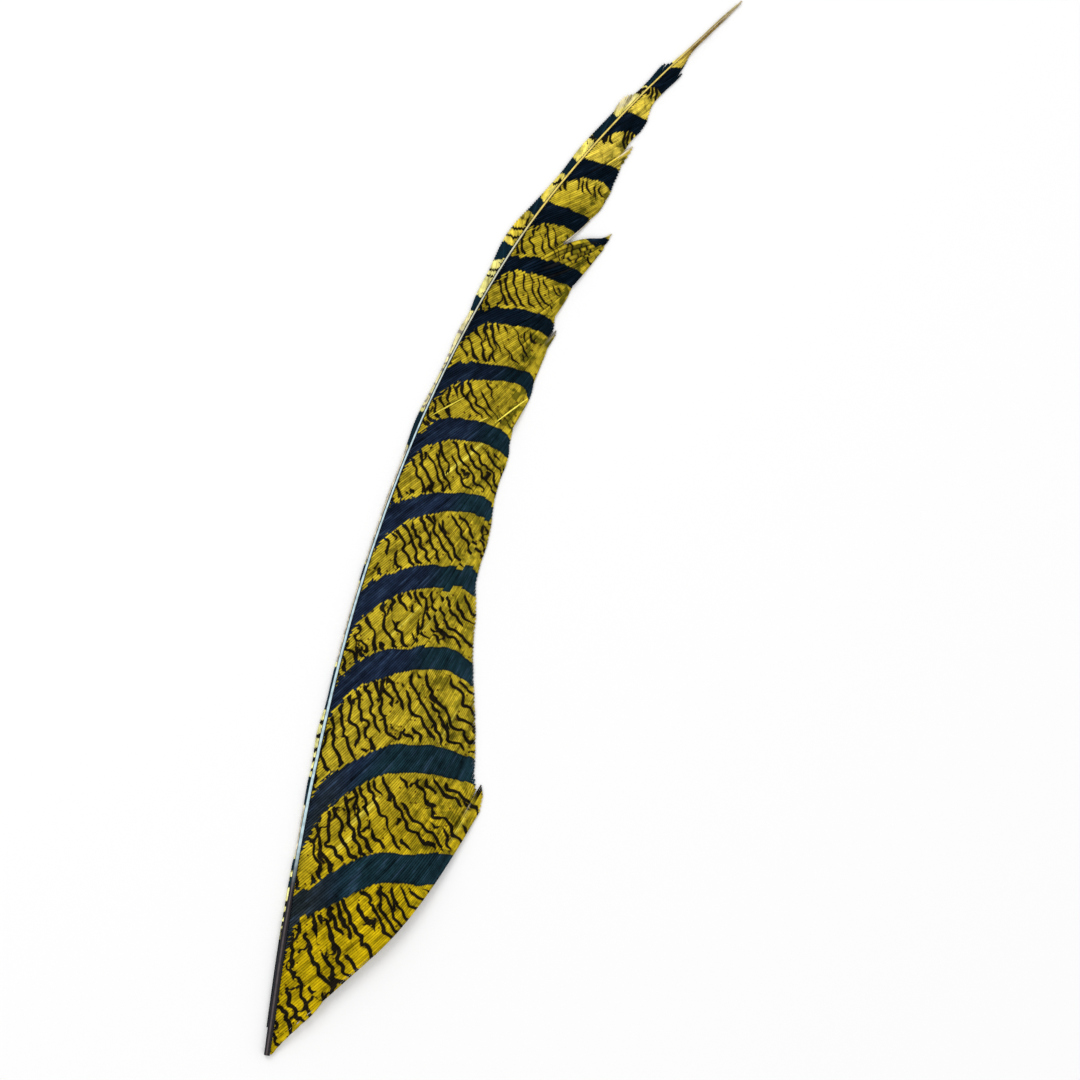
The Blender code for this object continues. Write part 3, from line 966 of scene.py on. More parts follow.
def guide_mesh(name: str, guides: list[Guide]) -> bpy.types.Mesh:
    """Make polylines of guides, with their facts as attributes.

    Args:
        name: The mesh's name.
        guides: The centre lines, in order.

    Returns:
        The mesh of points and edges, in metres.
    """
    places, edges, barbs = [], [], []
    for number, guide in enumerate(guides):
        first = len(places)
        places += [point * MM for point in guide.points]
        barbs += [number] * len(guide.points)
        edges += [(i, i + 1) for i in range(first, len(places) - 1)]
    mesh = bpy.data.meshes.new(name)
    mesh.from_pydata(places, edges, [])
    mesh.attributes.new("barb", "INT", "POINT").data.foreach_set("value", barbs)
    for fact in guides[0].facts:
        values = [value for guide in guides for value in guide.facts[fact]]
        mesh.attributes.new(fact, "FLOAT", "POINT").data.foreach_set("value", values)
    for fact in guides[0].vectors:
        values = [number for guide in guides for vector in guide.vectors[fact] for number in vector]
        mesh.attributes.new(fact, "FLOAT_VECTOR", "POINT").data.foreach_set("vector", values)
    return mesh


def colour_facts(line: ShaftLine, lines: LineRun, spot: Pair, centre: Vector, shift: float
                 ) -> tuple[dict[str, float], dict[str, Vector]]:
    """Tell what a barb's colour needs at one point.

    Args:
        line: The shaft.
        lines: The vane's wavy lines and bars.
        spot: Along and out of the place where the point's colour grew.
        centre: Where the point is now.
        shift: How far the barb's pattern is drawn up the shaft.

    Returns:
        The facts and the vectors, by name.
    """
    along, out = spot
    facts, leans = lines.facts(along - shift, abs(out))
    vectors = {"centre": centre, "place": line.place((along - shift, out, 0.0))}
    for name, (ahead, aside) in leans.items():
        vectors[name + "_lean"] = line.turned(along, ahead, math.copysign(aside, out))
    return facts, vectors


@dataclass(frozen=True)
class Touch:
    """A stretch of some neighbouring barbs that differs from the rest."""

    root: float
    reach: float
    start: float
    stop: float
    strength: float
    fade_beside: float = 0.6            # over which it ends beside its barbs, up the shaft
    fade_within: float = 0.04           # the same along a barb, as a share of it

    def at(self, root: float, share: float) -> float:
        """Tell how strong it is at one place.

        Args:
            root: The barb's root along the shaft.
            share: How far along the barb, 0 to 1.

        Returns:
            The strength, 0 outside the stretch.
        """
        beside = 1.0 - ease((abs(root - self.root) - self.reach) / self.fade_beside)
        begun, left = ((way / self.fade_within + 0.5) for way in (share - self.start, self.stop - share))
        return self.strength * beside * (ease(begun) * ease(left))


GLINTS = (Touch(11.8, 0.5, 0.84, 0.95, 0.4), Touch(52.0, 0.6, 0.15, 0.24, 0.4),
          Touch(56.6, 0.7, 0.22, 0.35, 0.4), Touch(50.0, 0.6, 0.78, 0.88, 0.4),
          Touch(113.5, 0.5, 0.24, 0.42, 0.55), Touch(101.0, 0.6, 0.50, 0.58, 0.4),
          Touch(101.6, 0.4, 0.64, 0.88, 0.35), Touch(166.0, 0.7, 0.30, 0.62, 0.7))
MARKS = (Touch(12.3, 1.5, 0.965, 1.1, -1.0), Touch(13.3, 0.1, 0.93, 0.955, 0.7),
         Touch(181.2, 0.9, 0.965, 1.1, 0.5), Touch(246.0, 0.1, 0.7, 1.1, 0.8),
         Touch(244.8, 0.3, 0.985, 1.1, 0.4), Touch(279.3, 0.6, 0.87, 1.1, 0.75),
         Touch(277.2, 0.1, 0.9, 0.94, -0.8), Touch(275.2, 0.3, 0.86, 0.9, -0.8),
         Touch(280.4, 0.1, 0.4, 0.8, -0.6), Touch(238.0, 0.1, 0.5, 0.9, -0.5),
         Touch(241.0, 0.1, 0.45, 0.95, -0.5), Touch(243.8, 0.1, 0.5, 0.9, -0.5))
SLIPS = (Touch(97.3, 3.5, 0.44, 1.2, -1.1), Touch(104.6, 2.6, 0.44, 1.2, 1.1),
         Touch(244.4, 2.0, 0.6, 1.2, 1.8))


@dataclass(frozen=True)
class StrayBarb:
    """A barb out of its place, lying straight over its neighbours: (along, out) at its two ends."""

    start: Pair
    stop: Pair
    glint: float


STRAYS = (StrayBarb((206.6, 20.7), (218.5, 26.5), 0.9), StrayBarb((200.2, 2.0), (209.9, 9.2), 0.6),
          StrayBarb((204.9, 16.2), (207.4, 18.2), 0.5))


def glint_at(root: float, share: float) -> float:
    """Light caught by the lifted edge of a lock."""
    return sum(touch.at(root, share) for touch in GLINTS)


def mark_at(root: float, share: float) -> float:
    """Undyed tips above 0, darkened tips and thin dark lines along a few barbs below 0."""
    return sum(touch.at(root, share) for touch in MARKS)


def slip_at(root: float, share: float) -> float:
    """How far a whole lock has slipped up the shaft beside its neighbours, in millimetres."""
    return sum(touch.at(root, share) for touch in SLIPS)


@dataclass(frozen=True)
class Lock:
    """A lock of barbs that cling together, by its roots along the shaft."""

    low: float
    high: float

    def side(self, root: float) -> float:
        """Where a root is in the lock, -1 at its lower side to 1 at its upper side."""
        return (2.0 * root - self.low - self.high) / (self.high - self.low)


@dataclass(frozen=True)
class Parting:
    """A split between two locks, open at the margin."""

    root: float
    opens: float                        # share of a barb from which it is open
    below: Point                        # how the tip just below it has moved (along, out, bow)
    above: Point
    blunt: float = 1.0                  # more than 1 where several barbs have moved the whole way


@dataclass
class Vane:
    """What the two vanes share: barbs swept as diamond rods from guide lines."""

    line: ShaftLine
    vane_side: VaneSide = VaneSide.BROAD
    seed: int = 0
    ridge: float = 0.3                  # a barb's height over its width
    corners: int = 4
    roll_spread: float = 0.1            # radians
    tone_spread: float = 0.25
    smoothness: float = 1.0

    def guides(self) -> list[Guide]:
        """Lay out every barb's centre line, which each vane does in its own way."""
        raise NotImplementedError

    def build(self, rods: SweptRods, finish: bpy.types.Material) -> bpy.types.Object:
        """Sweep the barbs.

        Args:
            rods: The sweeping tree.
            finish: Their material.

        Returns:
            The vane.
        """
        name = self.vane_side.value
        return rods.sweep(name, guide_mesh(name + "_lines", self.guides()), {
            "Ridge": self.ridge, "Section Corners": self.corners, "Roll Spread": self.roll_spread,
            "Tone Spread": self.tone_spread, "Smoothness": self.smoothness, "Seed": self.seed,
            "Finish": finish})


@dataclass
class BroadVane(Vane):
    """The broad trailing vane: long barbs that sweep out and up, parted into locks."""

    seed: int = 23
    ridge: float = 0.28
    roll_spread: float = 0.12
    start: float = 3.5
    end: float = 357.0
    tips: Graph = Graph((
        (3.5, 85.5, 51.5), (13.5, 92.0, 49.6), (20.0, 99.0, 47.4), (35.0, 112.0, 44.6), (60.0, 136.0, 38.2),
        (70.0, 147.5, 36.0), (78.0, 156.0, 33.4), (85.0, 163.0, 32.6), (92.0, 170.0, 32.5),
        (99.0, 177.0, 31.5), (106.0, 183.0, 30.1), (115.0, 190.0, 29.2), (125.0, 198.0, 28.9),
        (134.0, 205.0, 27.1),
        (143.0, 212.0, 26.2), (152.0, 219.0, 27.1), (160.0, 225.0, 26.0), (172.0, 234.0, 25.1),
        (182.0, 241.5, 23.6), (189.0, 246.5, 22.0), (200.0, 253.0, 22.2), (212.0, 260.5, 21.5),
        (221.0, 266.0, 22.4), (229.0, 270.5, 22.7), (238.9, 275.8, 22.0), (245.5, 280.0, 15.6),
        (254.0, 284.0, 14.7), (262.0, 289.0, 13.9), (270.0, 295.0, 12.0), (280.0, 304.0, 9.3),
        (293.0, 313.5, 7.4), (300.0, 318.0, 5.2), (308.0, 324.0, 4.7), (318.0, 331.0, 4.6),
        (325.0, 337.5, 1.9), (335.0, 345.0, 1.2), (346.0, 352.0, 0.9), (357.0, 359.2, 0.45)))
    root_slant: Graph = Graph(((3.5, 41.5), (60.0, 39.0), (120.0, 34.0), (220.0, 30.0), (320.0, 24.0),
                               (357.0, 14.0)))
    tip_slant: Graph = Graph(((3.5, 18.0), (60.0, 12.0), (120.0, 6.0), (220.0, 4.0), (260.0, 14.0),
                              (357.0, 10.0)))
    handle_pull: float = 0.45
    camber: float = 0.037
    camber_peak: float = 0.42
    thickness: float = 0.5
    partings: tuple[Parting, ...] = (
        Parting(13.5, 0.965, (2.5, 0.7, 0.0), (-0.2, -0.5, 0.0), 2.4),
        Parting(182.0, 0.95, (1.5, 0.9, 0.0), (-0.1, 0.3, 0.0), 1.8),
        Parting(245.5, 0.6, (0.1, 6.8, 1.8), (-1.7, -1.1, 0.0)),
        Parting(280.0, 0.88, (1.6, 0.2, 0.0), (1.6, -1.8, 0.0), 1.8),
        Parting(318.0, 0.8, (1.4, -0.2, 0.0), (1.6, -1.3, 0.0), 1.0))
    whole_until: float = 0.96           # share of a barb up to which whole locks keep their line
    lock_pitch: float = 7.4
    lock_jitter: float = 1.1
    lock_step: float = 0.45
    lock_scallop: float = 0.55
    barb_pitch: float = 1.15            # from root to root, along the shaft
    jitter: float = 0.015               # how far one barb's pattern is off its neighbour's, up the shaft
    lock_drift: float = 0.4             # how far a lock's pattern is off at its tips
    # Each lock's brightness: random tone, partly a painted sheen on its face.
    lock_tones: Pair = (0.35, 0.65)
    # Painted shade on the first barb of each lock, where two locks meet.
    painted_seam_shade: float = 0.3              # how much darker the first barb of a lock is
    tip_from: Pair = (0.97, 0.9)        # shares of a barb from which it tapers and is drawn in
    tip_taper: float = 0.3
    tip_back: float = 0.4               # how far it is drawn back, over how far it is drawn in
    plain_stretch: Pair = (5.2, 8.0)    # numbered like the bars
    plain_turn: float = 6.0
    lined_share: Pair = (0.48, 0.76)    # how much of a barb has lines there, below plain_turn and above it
    barb_steps: int = 32                # stretches that a barb's line is drawn in
    tip_shares: Pair = (0.985, 1.0)     # the last two points
    root_shade: float = 0.5             # how far a barb lies in the shaft's shade
    most_shade: float = 0.3             # the most of a short barb that does
    # Painted shade of the shaft on each barb's root, below 0; it is read at a barb's first point.
    shaded: Graph = Graph(((60, 0), (84, -0.9), (104, -0.9), (112, -0.3), (240, -0.3), (258, -0.85),
                           (328, -0.85), (334, -0.3)))
    stray_half: float = 0.24
    stray_tone: float = 0.6
    stray_lift: float = 0.3             # how far a barb out of place lies above the others
    foot_roots: tuple[float, ...] = (0.6, 1.2, 1.9, 2.6, 3.2)   # short barbs, at the quill's very end
    foot_tips: Graph = Graph(((0.6, 5.0, 2.7), (1.2, 8.0, 4.8), (1.9, 11.5, 7.4), (2.6, 16.0, 10.6),
                              (3.2, 24, 16)))
    # Their tips follow the arch of the first long barb.
    foot_heights: Graph = Graph(((0.6, 1.6), (1.2, 2.2), (1.9, 2.7), (2.6, 3.3), (3.2, 3.9)))
    foot_half: float = 0.45
    overlap: float = 1.16
    least_half: float = 0.26            # least half width of a barb, where tips run close together
    whisker_half: Pair = (0.1, 0.06)    # the same at the whisker, and its gain in a millimetre out
    most_half: float = 0.8
    tip_draw: float = 0.22              # how far the tips are drawn in, for their own width
    lines: LineRun = LineRun(BROAD_BARS, Graph(((90, 3.3), (190, 2.5), (260, 2.2), (300, 1.8))),
                             Graph(((110, 74), (200, 56))), 26.0)

    def list_locks(self) -> list[Lock]:
        """Share the vane between its landmarks into locks of about one pitch.

        Returns:
            The locks, from quill end to tip.
        """
        rng = random.Random(self.seed)
        marks = [self.start] + [parting.root for parting in self.partings] + [self.end]
        locks = []
        for low, high in zip(marks, marks[1:]):
            count = max(1, round((high - low) / self.lock_pitch))
            cuts = [low + (high - low) * i / count for i in range(count + 1)]
            for i in range(1, count):
                cuts[i] += rng.uniform(-self.lock_jitter, self.lock_jitter)
            locks += [Lock(cuts[i], cuts[i + 1]) for i in range(count)]
        return locks

    def spread(self, lock: Lock, side: float) -> tuple[Point, float]:
        """Tell how a barb's tip moves where its lock is parted from the next.

        Args:
            lock: The barb's lock.
            side: Where it is in the lock, -1 to 1.

        Returns:
            The tip's move (along, out, bow), and the share of the barb where it starts.
        """
        whole = Parting(0.0, self.whole_until, (0.0, 0.0, 0.0), (0.0, 0.0, 0.0))
        upper = next((parting for parting in self.partings if parting.root == lock.high), whole)
        lower = next((parting for parting in self.partings if parting.root == lock.low), whole)
        up, down = min((1 + side) / 2 * upper.blunt, 1.0), min((1 - side) / 2 * lower.blunt, 1.0)
        move = [b * up + a * down for b, a in zip(upper.below, lower.above)]
        move[0] -= self.lock_scallop * side * side
        return (move[0], move[1], move[2]), min(upper.opens, lower.opens)

    def barb_point(self, root: float, lock: Lock, share: float, parted: bool = True) -> Point:
        """Place a point on a barb's upper face.

        Args:
            root: The barb's root along the shaft.
            lock: Its lock.
            share: How far along the barb, 0 to 1.
            parted: Whether the vane has split there, or is still as it grew.

        Returns:
            Along, out and height.
        """
        side = self.line.side(root)
        tips = self.tips if root >= self.start else self.foot_tips
        tip_along, tip_out = tips.read(root, 1), tips.read(root, 2)
        span = self.span(root)
        leave, arrive = math.radians(self.root_slant.read(root)), math.radians(self.tip_slant.read(root))
        pull = self.handle_pull * span
        handles = ((root, side), (root + pull * math.cos(leave), side + pull * math.sin(leave)),
                   (tip_along - pull * math.cos(arrive), tip_out - pull * math.sin(arrive)),
                   (tip_along, tip_out))
        weights = ((1 - share) ** 3, 3 * share * (1 - share) ** 2, 3 * share ** 2 * (1 - share), share ** 3)
        along = sum(w * h[0] for w, h in zip(weights, handles))
        out = sum(w * h[1] for w, h in zip(weights, handles))
        lean = lock.side(root)
        (move_along, move_out, bow), spread_from = self.spread(lock, lean)
        moved = ease((share - spread_from) / (1.0 - spread_from)) if parted else 0.0
        skewed = share ** (math.log(0.5) / math.log(self.camber_peak))
        tip_height = self.thickness if root >= self.start else self.foot_heights.read(root)
        height = (self.line.vane_seat(root) * (1 - share) + tip_height * share
                  + self.camber * span * math.sin(math.pi * skewed)
                  + self.lock_step / 2 * lean * math.sin(math.pi * share))
        return along + move_along * moved + bow * math.sin(math.pi * moved), out + move_out * moved, height

    def span(self, root: float) -> float:
        """Measure straight from a barb's root to its tip."""
        tips = self.tips if root >= self.start else self.foot_tips
        return math.hypot(tips.read(root, 1) - root, tips.read(root, 2) - self.line.side(root))

    def shares(self, root: float) -> list[float]:
        """Choose where on a barb its points are, closest together at both ends.

        Args:
            root: The barb's root along the shaft.

        Returns:
            Shares of the barb, 0 to 1.
        """
        first = min(self.root_shade / self.span(root), self.most_shade)
        steps = [(i / self.barb_steps + (i / self.barb_steps) ** 2) / 2 for i in range(self.barb_steps)]
        return [0.0] + [first + (1.0 - first) * step for step in steps] + list(self.tip_shares)

    def half_width(self, rows: list[list[Point]], k: int, i: int) -> float:
        """Half of a barb's width at one point, from the distance to the barbs beside it.

        Args:
            rows: All barbs' points.
            k: Which barb.
            i: Which point.

        Returns:
            Half the width in millimetres.
        """
        points = rows[k]
        first, second = points[max(i - 1, 0)], points[min(i + 1, len(points) - 1)]
        step = (second[0] - first[0], second[1] - first[1])
        size = math.hypot(*step) or 1.0
        gaps = []
        for other in (k - 1, k + 1):
            if 0 <= other < len(rows):
                ahead, aside = (rows[other][i][axis] - points[i][axis] for axis in (0, 1))
                gaps.append(abs(step[0] * aside - step[1] * ahead) / size)
        if k < len(self.foot_roots):
            return self.foot_half
        narrowest = min(self.least_half, self.whisker_half[0] + self.whisker_half[1] * points[-1][1])
        return min(max(min(gaps) * self.overlap / 2, narrowest), self.most_half)

    def guides(self) -> list[Guide]:
        """Lay out every barb's centre line with its facts.

        Returns:
            The centre lines, from quill end to tip.
        """
        rng = random.Random(self.seed + 1)
        locks = [Lock(0.0, self.start)] + self.list_locks()
        count = int((self.end - self.start) / self.barb_pitch)
        roots = list(self.foot_roots)
        roots += [self.start + (self.end - self.start) * (k + 0.5) / count for k in range(count)]
        home = [next(lock for lock in locks if root <= lock.high or lock is locks[-1]) for root in roots]
        rows = [[self.barb_point(root, lock, share) for share in self.shares(root)]
                for root, lock in zip(roots, home)]
        tones = {lock.low: rng.uniform(*self.lock_tones) for lock in locks}
        shifts = {lock.low: rng.uniform(-self.lock_drift, self.lock_drift) for lock in locks}
        guides = []
        for k, (root, lock, row) in enumerate(zip(roots, home, rows)):
            guide, jitter, gone = Guide(), rng.uniform(-self.jitter, self.jitter), 0.0
            # Painted shade: the first barb of each lock is darker, as if shaded where two locks meet.
            seam_shade = self.painted_seam_shade if k and home[k - 1] is not lock else 0.0
            for i, (share, (along, out, height)) in enumerate(zip(self.shares(root), row)):
                gone += math.dist(row[i], row[i - 1]) if i else 0.0
                taper, draw = (ease((share - start) / (1.0 - start)) for start in self.tip_from)
                half = self.half_width(rows, k, i) * (1.0 - self.tip_taper * taper)
                drawn_in = self.tip_draw * draw
                shift = -(jitter + shifts[lock.low] * share + slip_at(root, share))
                spot = self.barb_point(root, lock, share, parted=False)[:2]
                centre = self.line.place((along, out, 0.0))
                facts, vectors = colour_facts(self.line, self.lines, spot, centre, shift)
                # A barb's first point carries the shaft's painted shade instead.
                facts.update(half_width=half * MM, share=share, tone=tones[lock.low] - seam_shade,
                             glint=glint_at(root, share), plain=self.plain(facts["phase"], share), root=root,
                             mark=mark_at(root, share) if i else self.shaded.read(root), gone=gone)
                place = self.line.place((along - self.tip_back * drawn_in, out - drawn_in,
                                         height - half * self.ridge))
                guide.add(place, facts, vectors)
            guides.append(guide)
        return guides + [self.stray(barb, rows) for barb in STRAYS]

    def plain(self, phase: float, share: float) -> float:
        """Tell how free of lines the outer part of the vane is, in its plain stretch."""
        (low, high), lined = self.plain_stretch, self.lined_share[0 if phase < self.plain_turn else 1]
        return ease((phase - low) / 0.4) * ease((high - phase) / 0.2) * ease((share - lined) / 0.14)

    def stray(self, barb: StrayBarb, rows: list[list[Point]]) -> Guide:
        """Lay out a barb that is out of its place, over the others.

        Args:
            barb: The barb.
            rows: All other barbs' points.

        Returns:
            Its centre line.
        """
        guide = Guide()
        for i in range(self.barb_steps + 1):
            t = i / self.barb_steps
            along, out = (a + (b - a) * t for a, b in zip(barb.start, barb.stop))
            share, height = min((math.dist((along, out), point[:2]), i / len(row), point[2])
                                for row in rows for i, point in enumerate(row))[1:]
            centre = self.line.place((along, out, 0.0))
            facts, vectors = colour_facts(self.line, self.lines, (along, out), centre, 0.0)
            half = self.stray_half * (0.3 + 0.7 * math.sin(math.pi * t))
            facts.update(half_width=half * MM, share=share, tone=self.stray_tone, glint=barb.glint,
                         mark=0.0, plain=1.0, thick=0.0, phase=math.floor(facts["phase"]) + 0.5, root=0.0,
                         gone=t)
            lift = self.stray_lift * math.sin(math.pi * t)
            guide.add(self.line.place((along, out, height + lift)), facts, vectors)
        return guide


@dataclass
class NarrowVane(Vane):
    """The narrow leading vane: short stiff barbs folded steeply down beside the shaft."""

    vane_side: VaneSide = VaneSide.NARROW
    seed: int = 31
    ridge: float = 0.34
    roll_spread: float = 0.2
    smoothness: float = 0.75
    reach: Graph = Graph((
        (12.0, 1.05), (30.0, 1.15), (45.0, 1.45), (58.0, 1.4), (64.0, 0.95), (70.0, 0.95), (84.0, 1.35),
        (89.0, 1.1), (99.0, 1.75), (108.0, 1.0), (118.0, 1.0), (131.0, 0.6), (165.0, 0.6), (175.0, 0.9),
        (184.0, 0.6), (198.0, 1.5), (211.0, 0.85), (218.0, 0.8), (228.0, 1.5), (234.0, 1.2), (240.0, 2.0),
        (248.0, 2.4), (258.0, 3.7), (264.0, 3.6), (272.0, 2.5), (284.0, 1.7), (294.0, 2.25), (304.0, 2.1),
        (309.0, 2.1), (311.0, 2.65), (314.5, 2.65), (317.0, 1.2), (323.0, 1.1), (327.5, 1.6), (329.5, 1.5),
        (331.0, 0.3), (343.0, 0.0), (351.0, 0.3), (359.4, 0.15)))
    start: float = 8.0
    end: float = 352.0
    rise: float = 6.0
    edge_height: float = 0.6
    fold: Pair = (0.8, 1.6)
    barb_pitch: float = 0.85
    barb_shares: tuple[float, ...] = (0.0, 0.1, 0.25, 0.45, 0.72, 1.0)
    half: float = 0.38
    tip_thin: float = 0.35              # how much slimmer a barb's tip is
    thin: Graph = Graph(((331.5, 1.0), (333.0, 0.35), (343.0, 0.3), (351.0, 0.8)))
    jitter: float = 0.3                 # how far one barb's pattern is off its neighbour's, up the shaft
    shown_share: float = 0.6            # where along a broad barb its colours would be
    gleam: Graph = Graph(((30.0, 0.5), (42.0, 0.9), (104.0, 0.9), (190.0, 0.6), (248.0, 0.6), (257.0, 0.1),
                          (269.0, 0.1), (276.0, 0.25), (300.0, 0.3), (314.0, 0.4), (330.0, 0.2)))
    faded: tuple[Touch, ...] = (
        Touch(20.0, 18.0, -0.1, 1.2, -0.8), Touch(68.5, 7.5, -0.1, 1.2, 0.9),
        Touch(133.0, 12.0, -0.1, 1.2, 0.9), Touch(170.5, 18.0, -0.1, 1.2, 0.9),
        Touch(218.0, 15.5, -0.1, 1.2, 0.45), Touch(312.5, 3.0, 0.4, 1.2, 0.6))
    lines: LineRun = LineRun(NARROW_BARS, Graph(((90, 3.3), (210, 2.4))), Graph(((0, 30), (1, 30))), 31.0)

    def barb_point(self, root: float, share: float) -> Point:
        """Place a point on a narrow barb's upper face, folded down from the shaft's side.

        Args:
            root: The barb's root along the shaft.
            share: How far along the barb, 0 to 1.

        Returns:
            Along, out and height.
        """
        side = self.line.side(root, -1.0)
        tip_along = min(root + self.rise, self.line.end)
        tip_out = min(-self.reach.read(tip_along), side)
        seat = self.line.vane_seat(root)
        out = side + (tip_out - side) * share ** self.fold[0]
        height = seat + (self.edge_height - seat) * share ** self.fold[1]
        return root + (tip_along - root) * share, out, height

    def guides(self) -> list[Guide]:
        """Lay out every barb's centre line with its facts.

        Returns:
            The centre lines, from quill end to tip.
        """
        rng = random.Random(self.seed)
        count = int((self.end - self.start) / self.barb_pitch)
        guides = []
        for k in range(count):
            root = self.start + (self.end - self.start) * (k + 0.5) / count
            guide, jitter = Guide(), rng.uniform(-self.jitter, self.jitter)
            for share in self.barb_shares:
                along, out, height = self.barb_point(root, share)
                half = self.half * (1.0 - self.tip_thin * share) * self.thin.read(along)
                centre = self.line.place((along, out, 0.0))
                facts, vectors = colour_facts(self.line, self.lines, (along, out), centre, jitter)
                facts.update(half_width=half * MM, share=self.shown_share, tone=0.5,
                             mark=sum(touch.at(along, share) for touch in self.faded),
                             glint=self.gleam.read(root), plain=0.0, root=root, gone=share)
                guide.add(self.line.place((along, out + half * 0.5 * share, height - half * self.ridge)),
                          facts, vectors)
            guides.append(guide)
        return guides


@dataclass
class Shaft:
    """The horn shaft, from the cut quill end to the whisker's tip."""

    line: ShaftLine
    rings: int = 150
    corners: int = 20
    squareness: float = 0.55            # how the lower half widens, less than 1 for a square corner
    roundness: float = 0.8              # the same for its height, in both halves
    keel: float = -0.93                 # level on the round below which the horn is flat

    def section(self, along: float) -> list[Point]:
        """Lay out one ring, flat below and rounded above.

        Args:
            along: Distance up the shaft.

        Returns:
            Out, height and across, -1 to 1, for each corner.
        """
        half, height = self.line.width.read(along) / 2, self.line.height.read(along)
        ring = []
        for k in range(self.corners):
            angle = 2 * math.pi * (k + 0.5) / self.corners
            across, up = math.cos(angle), math.sin(angle)
            if up < 0:
                out = half * math.copysign(abs(across) ** self.squareness, across)
                level = height * self.line.seat * (1 - abs(up) ** self.roundness)
                level = 0.0 if up < self.keel else level
            else:
                out = half * across
                level = height * (self.line.seat + (1 - self.line.seat) * up ** self.roundness)
            ring.append((out + self.line.drift.read(along), level, across))
        return ring

    def build(self, finish: bpy.types.Material) -> bpy.types.Object:
        """Make the shaft's closed tube.

        Args:
            finish: Its material.

        Returns:
            The shaft.
        """
        places, alongs, acrosses, faces = [], [], [], []
        for i in range(self.rings + 1):
            along = self.line.end * i / self.rings
            for out, height, across in self.section(along):
                places.append(self.line.place((along, out, height)) * MM)
                alongs.append(along)
                acrosses.append(across)
        for i in range(self.rings):
            for k in range(self.corners):
                a, b = i * self.corners + k, i * self.corners + (k + 1) % self.corners
                faces.append((a, b, b + self.corners, a + self.corners))
        faces.append(tuple(range(self.corners))[::-1])
        faces.append(tuple(range(self.rings * self.corners, (self.rings + 1) * self.corners)))
        mesh = bpy.data.meshes.new("shaft")
        mesh.from_pydata(places, [], faces)
        mesh.attributes.new("along", "FLOAT", "POINT").data.foreach_set("value", alongs)
        mesh.attributes.new("across", "FLOAT", "POINT").data.foreach_set("value", acrosses)
        mesh.polygons.foreach_set("use_smooth", [len(face) == 4 for face in faces])
        mesh.materials.append(finish)
        return put("shaft", mesh)


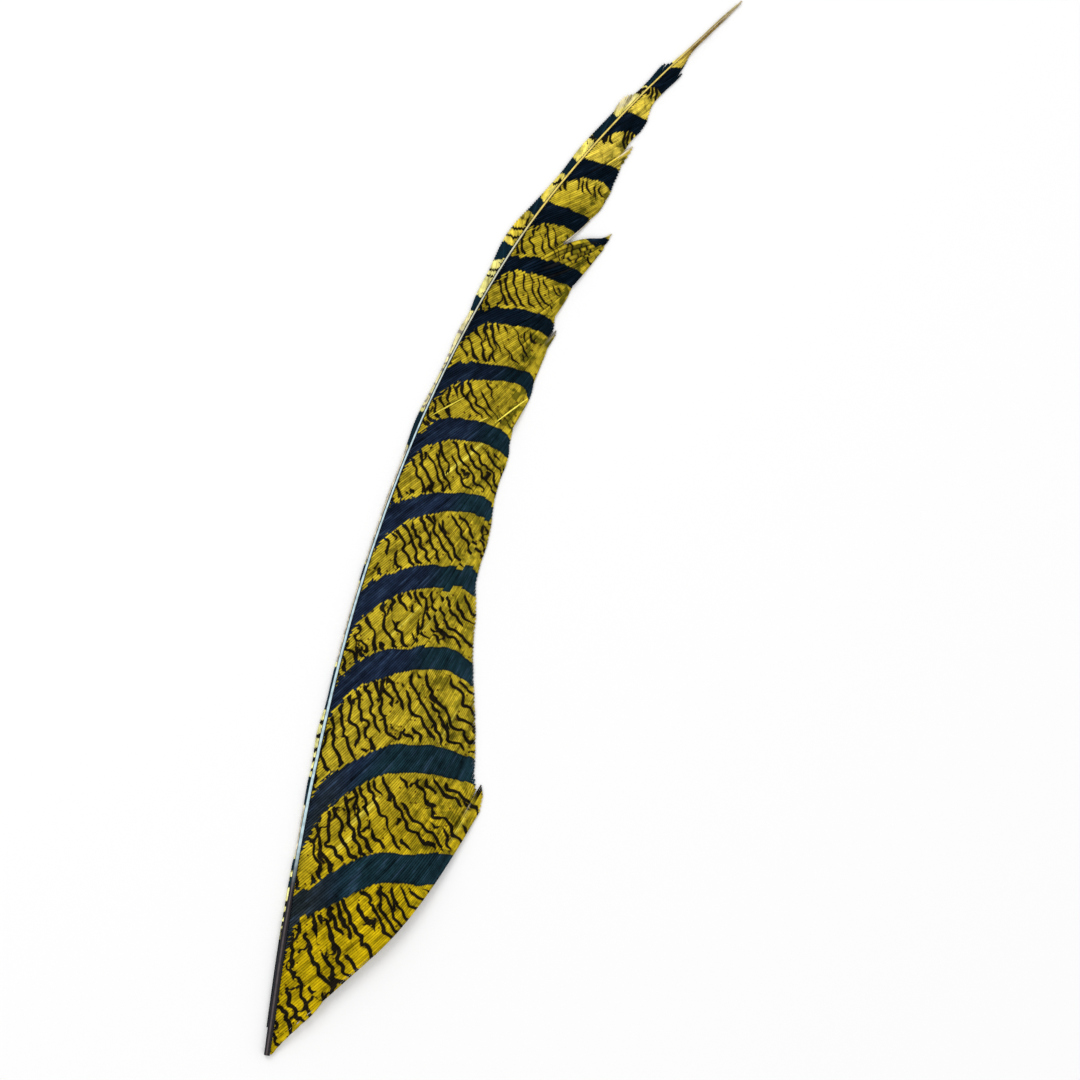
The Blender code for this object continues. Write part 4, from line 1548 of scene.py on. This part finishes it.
@dataclass
class Studio:
    """A plain pale floor, soft light and the camera at the photograph's angle."""

    lens: float = 200.0
    sensor: float = 36.0
    floor_side: float = 6.0
    floor_white: float = 0.92
    sky: float = 0.82
    # Each lamp's name, place, side and watts.
    lamps: tuple[tuple[str, Point, float, float], ...] = (("key", (-0.9, 0.5, 1.3), 0.9, 8.0),
                                                          ("fill", (1.1, -0.5, 1.4), 1.2, 3.0))

    def floor(self) -> bpy.types.Object:
        """Lay the floor.

        Returns:
            The floor.
        """
        half = self.floor_side / 2
        mesh = bpy.data.meshes.new("floor")
        corners = [(-half, -half, 0), (half, -half, 0), (half, half, 0), (-half, half, 0)]
        mesh.from_pydata(corners, [], [(0, 1, 2, 3)])
        material, _, shader = new_finish("plain_floor", 0.9, 0.1)
        shader.inputs["Base Color"].default_value = (self.floor_white,) * 3 + (1.0,)
        mesh.materials.append(material)
        return put("floor", mesh)

    def lights(self) -> None:
        """Hang the soft lights."""
        world = bpy.data.worlds.new("soft_sky")
        bpy.context.scene.world = world
        world.use_nodes = True
        world.node_tree.nodes["Background"].inputs[0].default_value = (1.0, 1.0, 1.0, 1.0)
        world.node_tree.nodes["Background"].inputs[1].default_value = self.sky
        for name, place, side, watts in self.lamps:
            light = bpy.data.lights.new(name, "AREA")
            light.size = side
            light.energy = watts
            lamp = put(name, light)
            lamp.location = place
            lamp.rotation_euler = (-Vector(place)).to_track_quat("-Z", "Y").to_euler()

    def camera(self) -> None:
        """Hang the camera straight above, rolled so that quill end and tip fall on their pixels."""
        across, down = (WHISKER_PIXEL[0] - QUILL_PIXEL[0], WHISKER_PIXEL[1] - QUILL_PIXEL[1])
        scale = SHAFT_CHORD / math.hypot(across, down)
        roll = math.atan2(across, -down)
        right, up = Vector((math.cos(roll), math.sin(roll))), Vector((-math.sin(roll), math.cos(roll)))
        centre = Vector((-PLAN_MIDDLE[0], -PLAN_MIDDLE[1])) + scale * (
            right * (PHOTO_SIDE / 2 - QUILL_PIXEL[0]) + up * (QUILL_PIXEL[1] - PHOTO_SIDE / 2))
        view = bpy.data.cameras.new("camera")
        view.lens, view.sensor_width = self.lens, self.sensor
        distance = self.lens * PHOTO_SIDE * scale * MM / self.sensor
        camera = put("camera", view)
        camera.matrix_world = (Matrix.Translation((centre.x * MM, centre.y * MM, distance))
                               @ Matrix.Rotation(roll, 4, "Z"))
        bpy.context.scene.camera = camera

    def set_up(self) -> None:
        """Set the whole studio up."""
        self.floor()
        self.lights()
        self.camera()
        bpy.context.scene.view_settings.view_transform = "Standard"


def hand_over(piece: bpy.types.Object) -> None:
    """Hand a finished piece to the frame in place of the plain solid.

    Args:
        piece: The piece.
    """
    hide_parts("feather")
    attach(piece, "root")
    log.info("%s: %d faces", piece.name, len(piece.data.polygons))


def main() -> None:
    """Build the feather's pieces in order and set up the studio."""
    logging.basicConfig(level=logging.INFO, format="%(name)s: %(message)s")
    line = ShaftLine()
    rods = SweptRods("swept_barbs")
    hand_over(Shaft(line).build(ShaftFinish().make()))
    hand_over(BroadVane(line).build(rods, VaneFinish("dyed_barbs", len(BROAD_BARS.bars) - 1).make()))
    narrow_finish = VaneFinish("dyed_narrow_barbs", len(NARROW_BARS.bars) - 1, line_width=(1.4, 0.7),
                               tongue=0.0, bright_yellow=display_colour(224, 198, 46),
                               pale_yellow=display_colour(244, 220, 66),
                               near_black=display_colour(8, 32, 44), gleam=display_colour(254, 250, 168))
    hand_over(NarrowVane(line).build(rods, narrow_finish.make()))
    Studio().set_up()


if __name__ == "__main__":
    main()
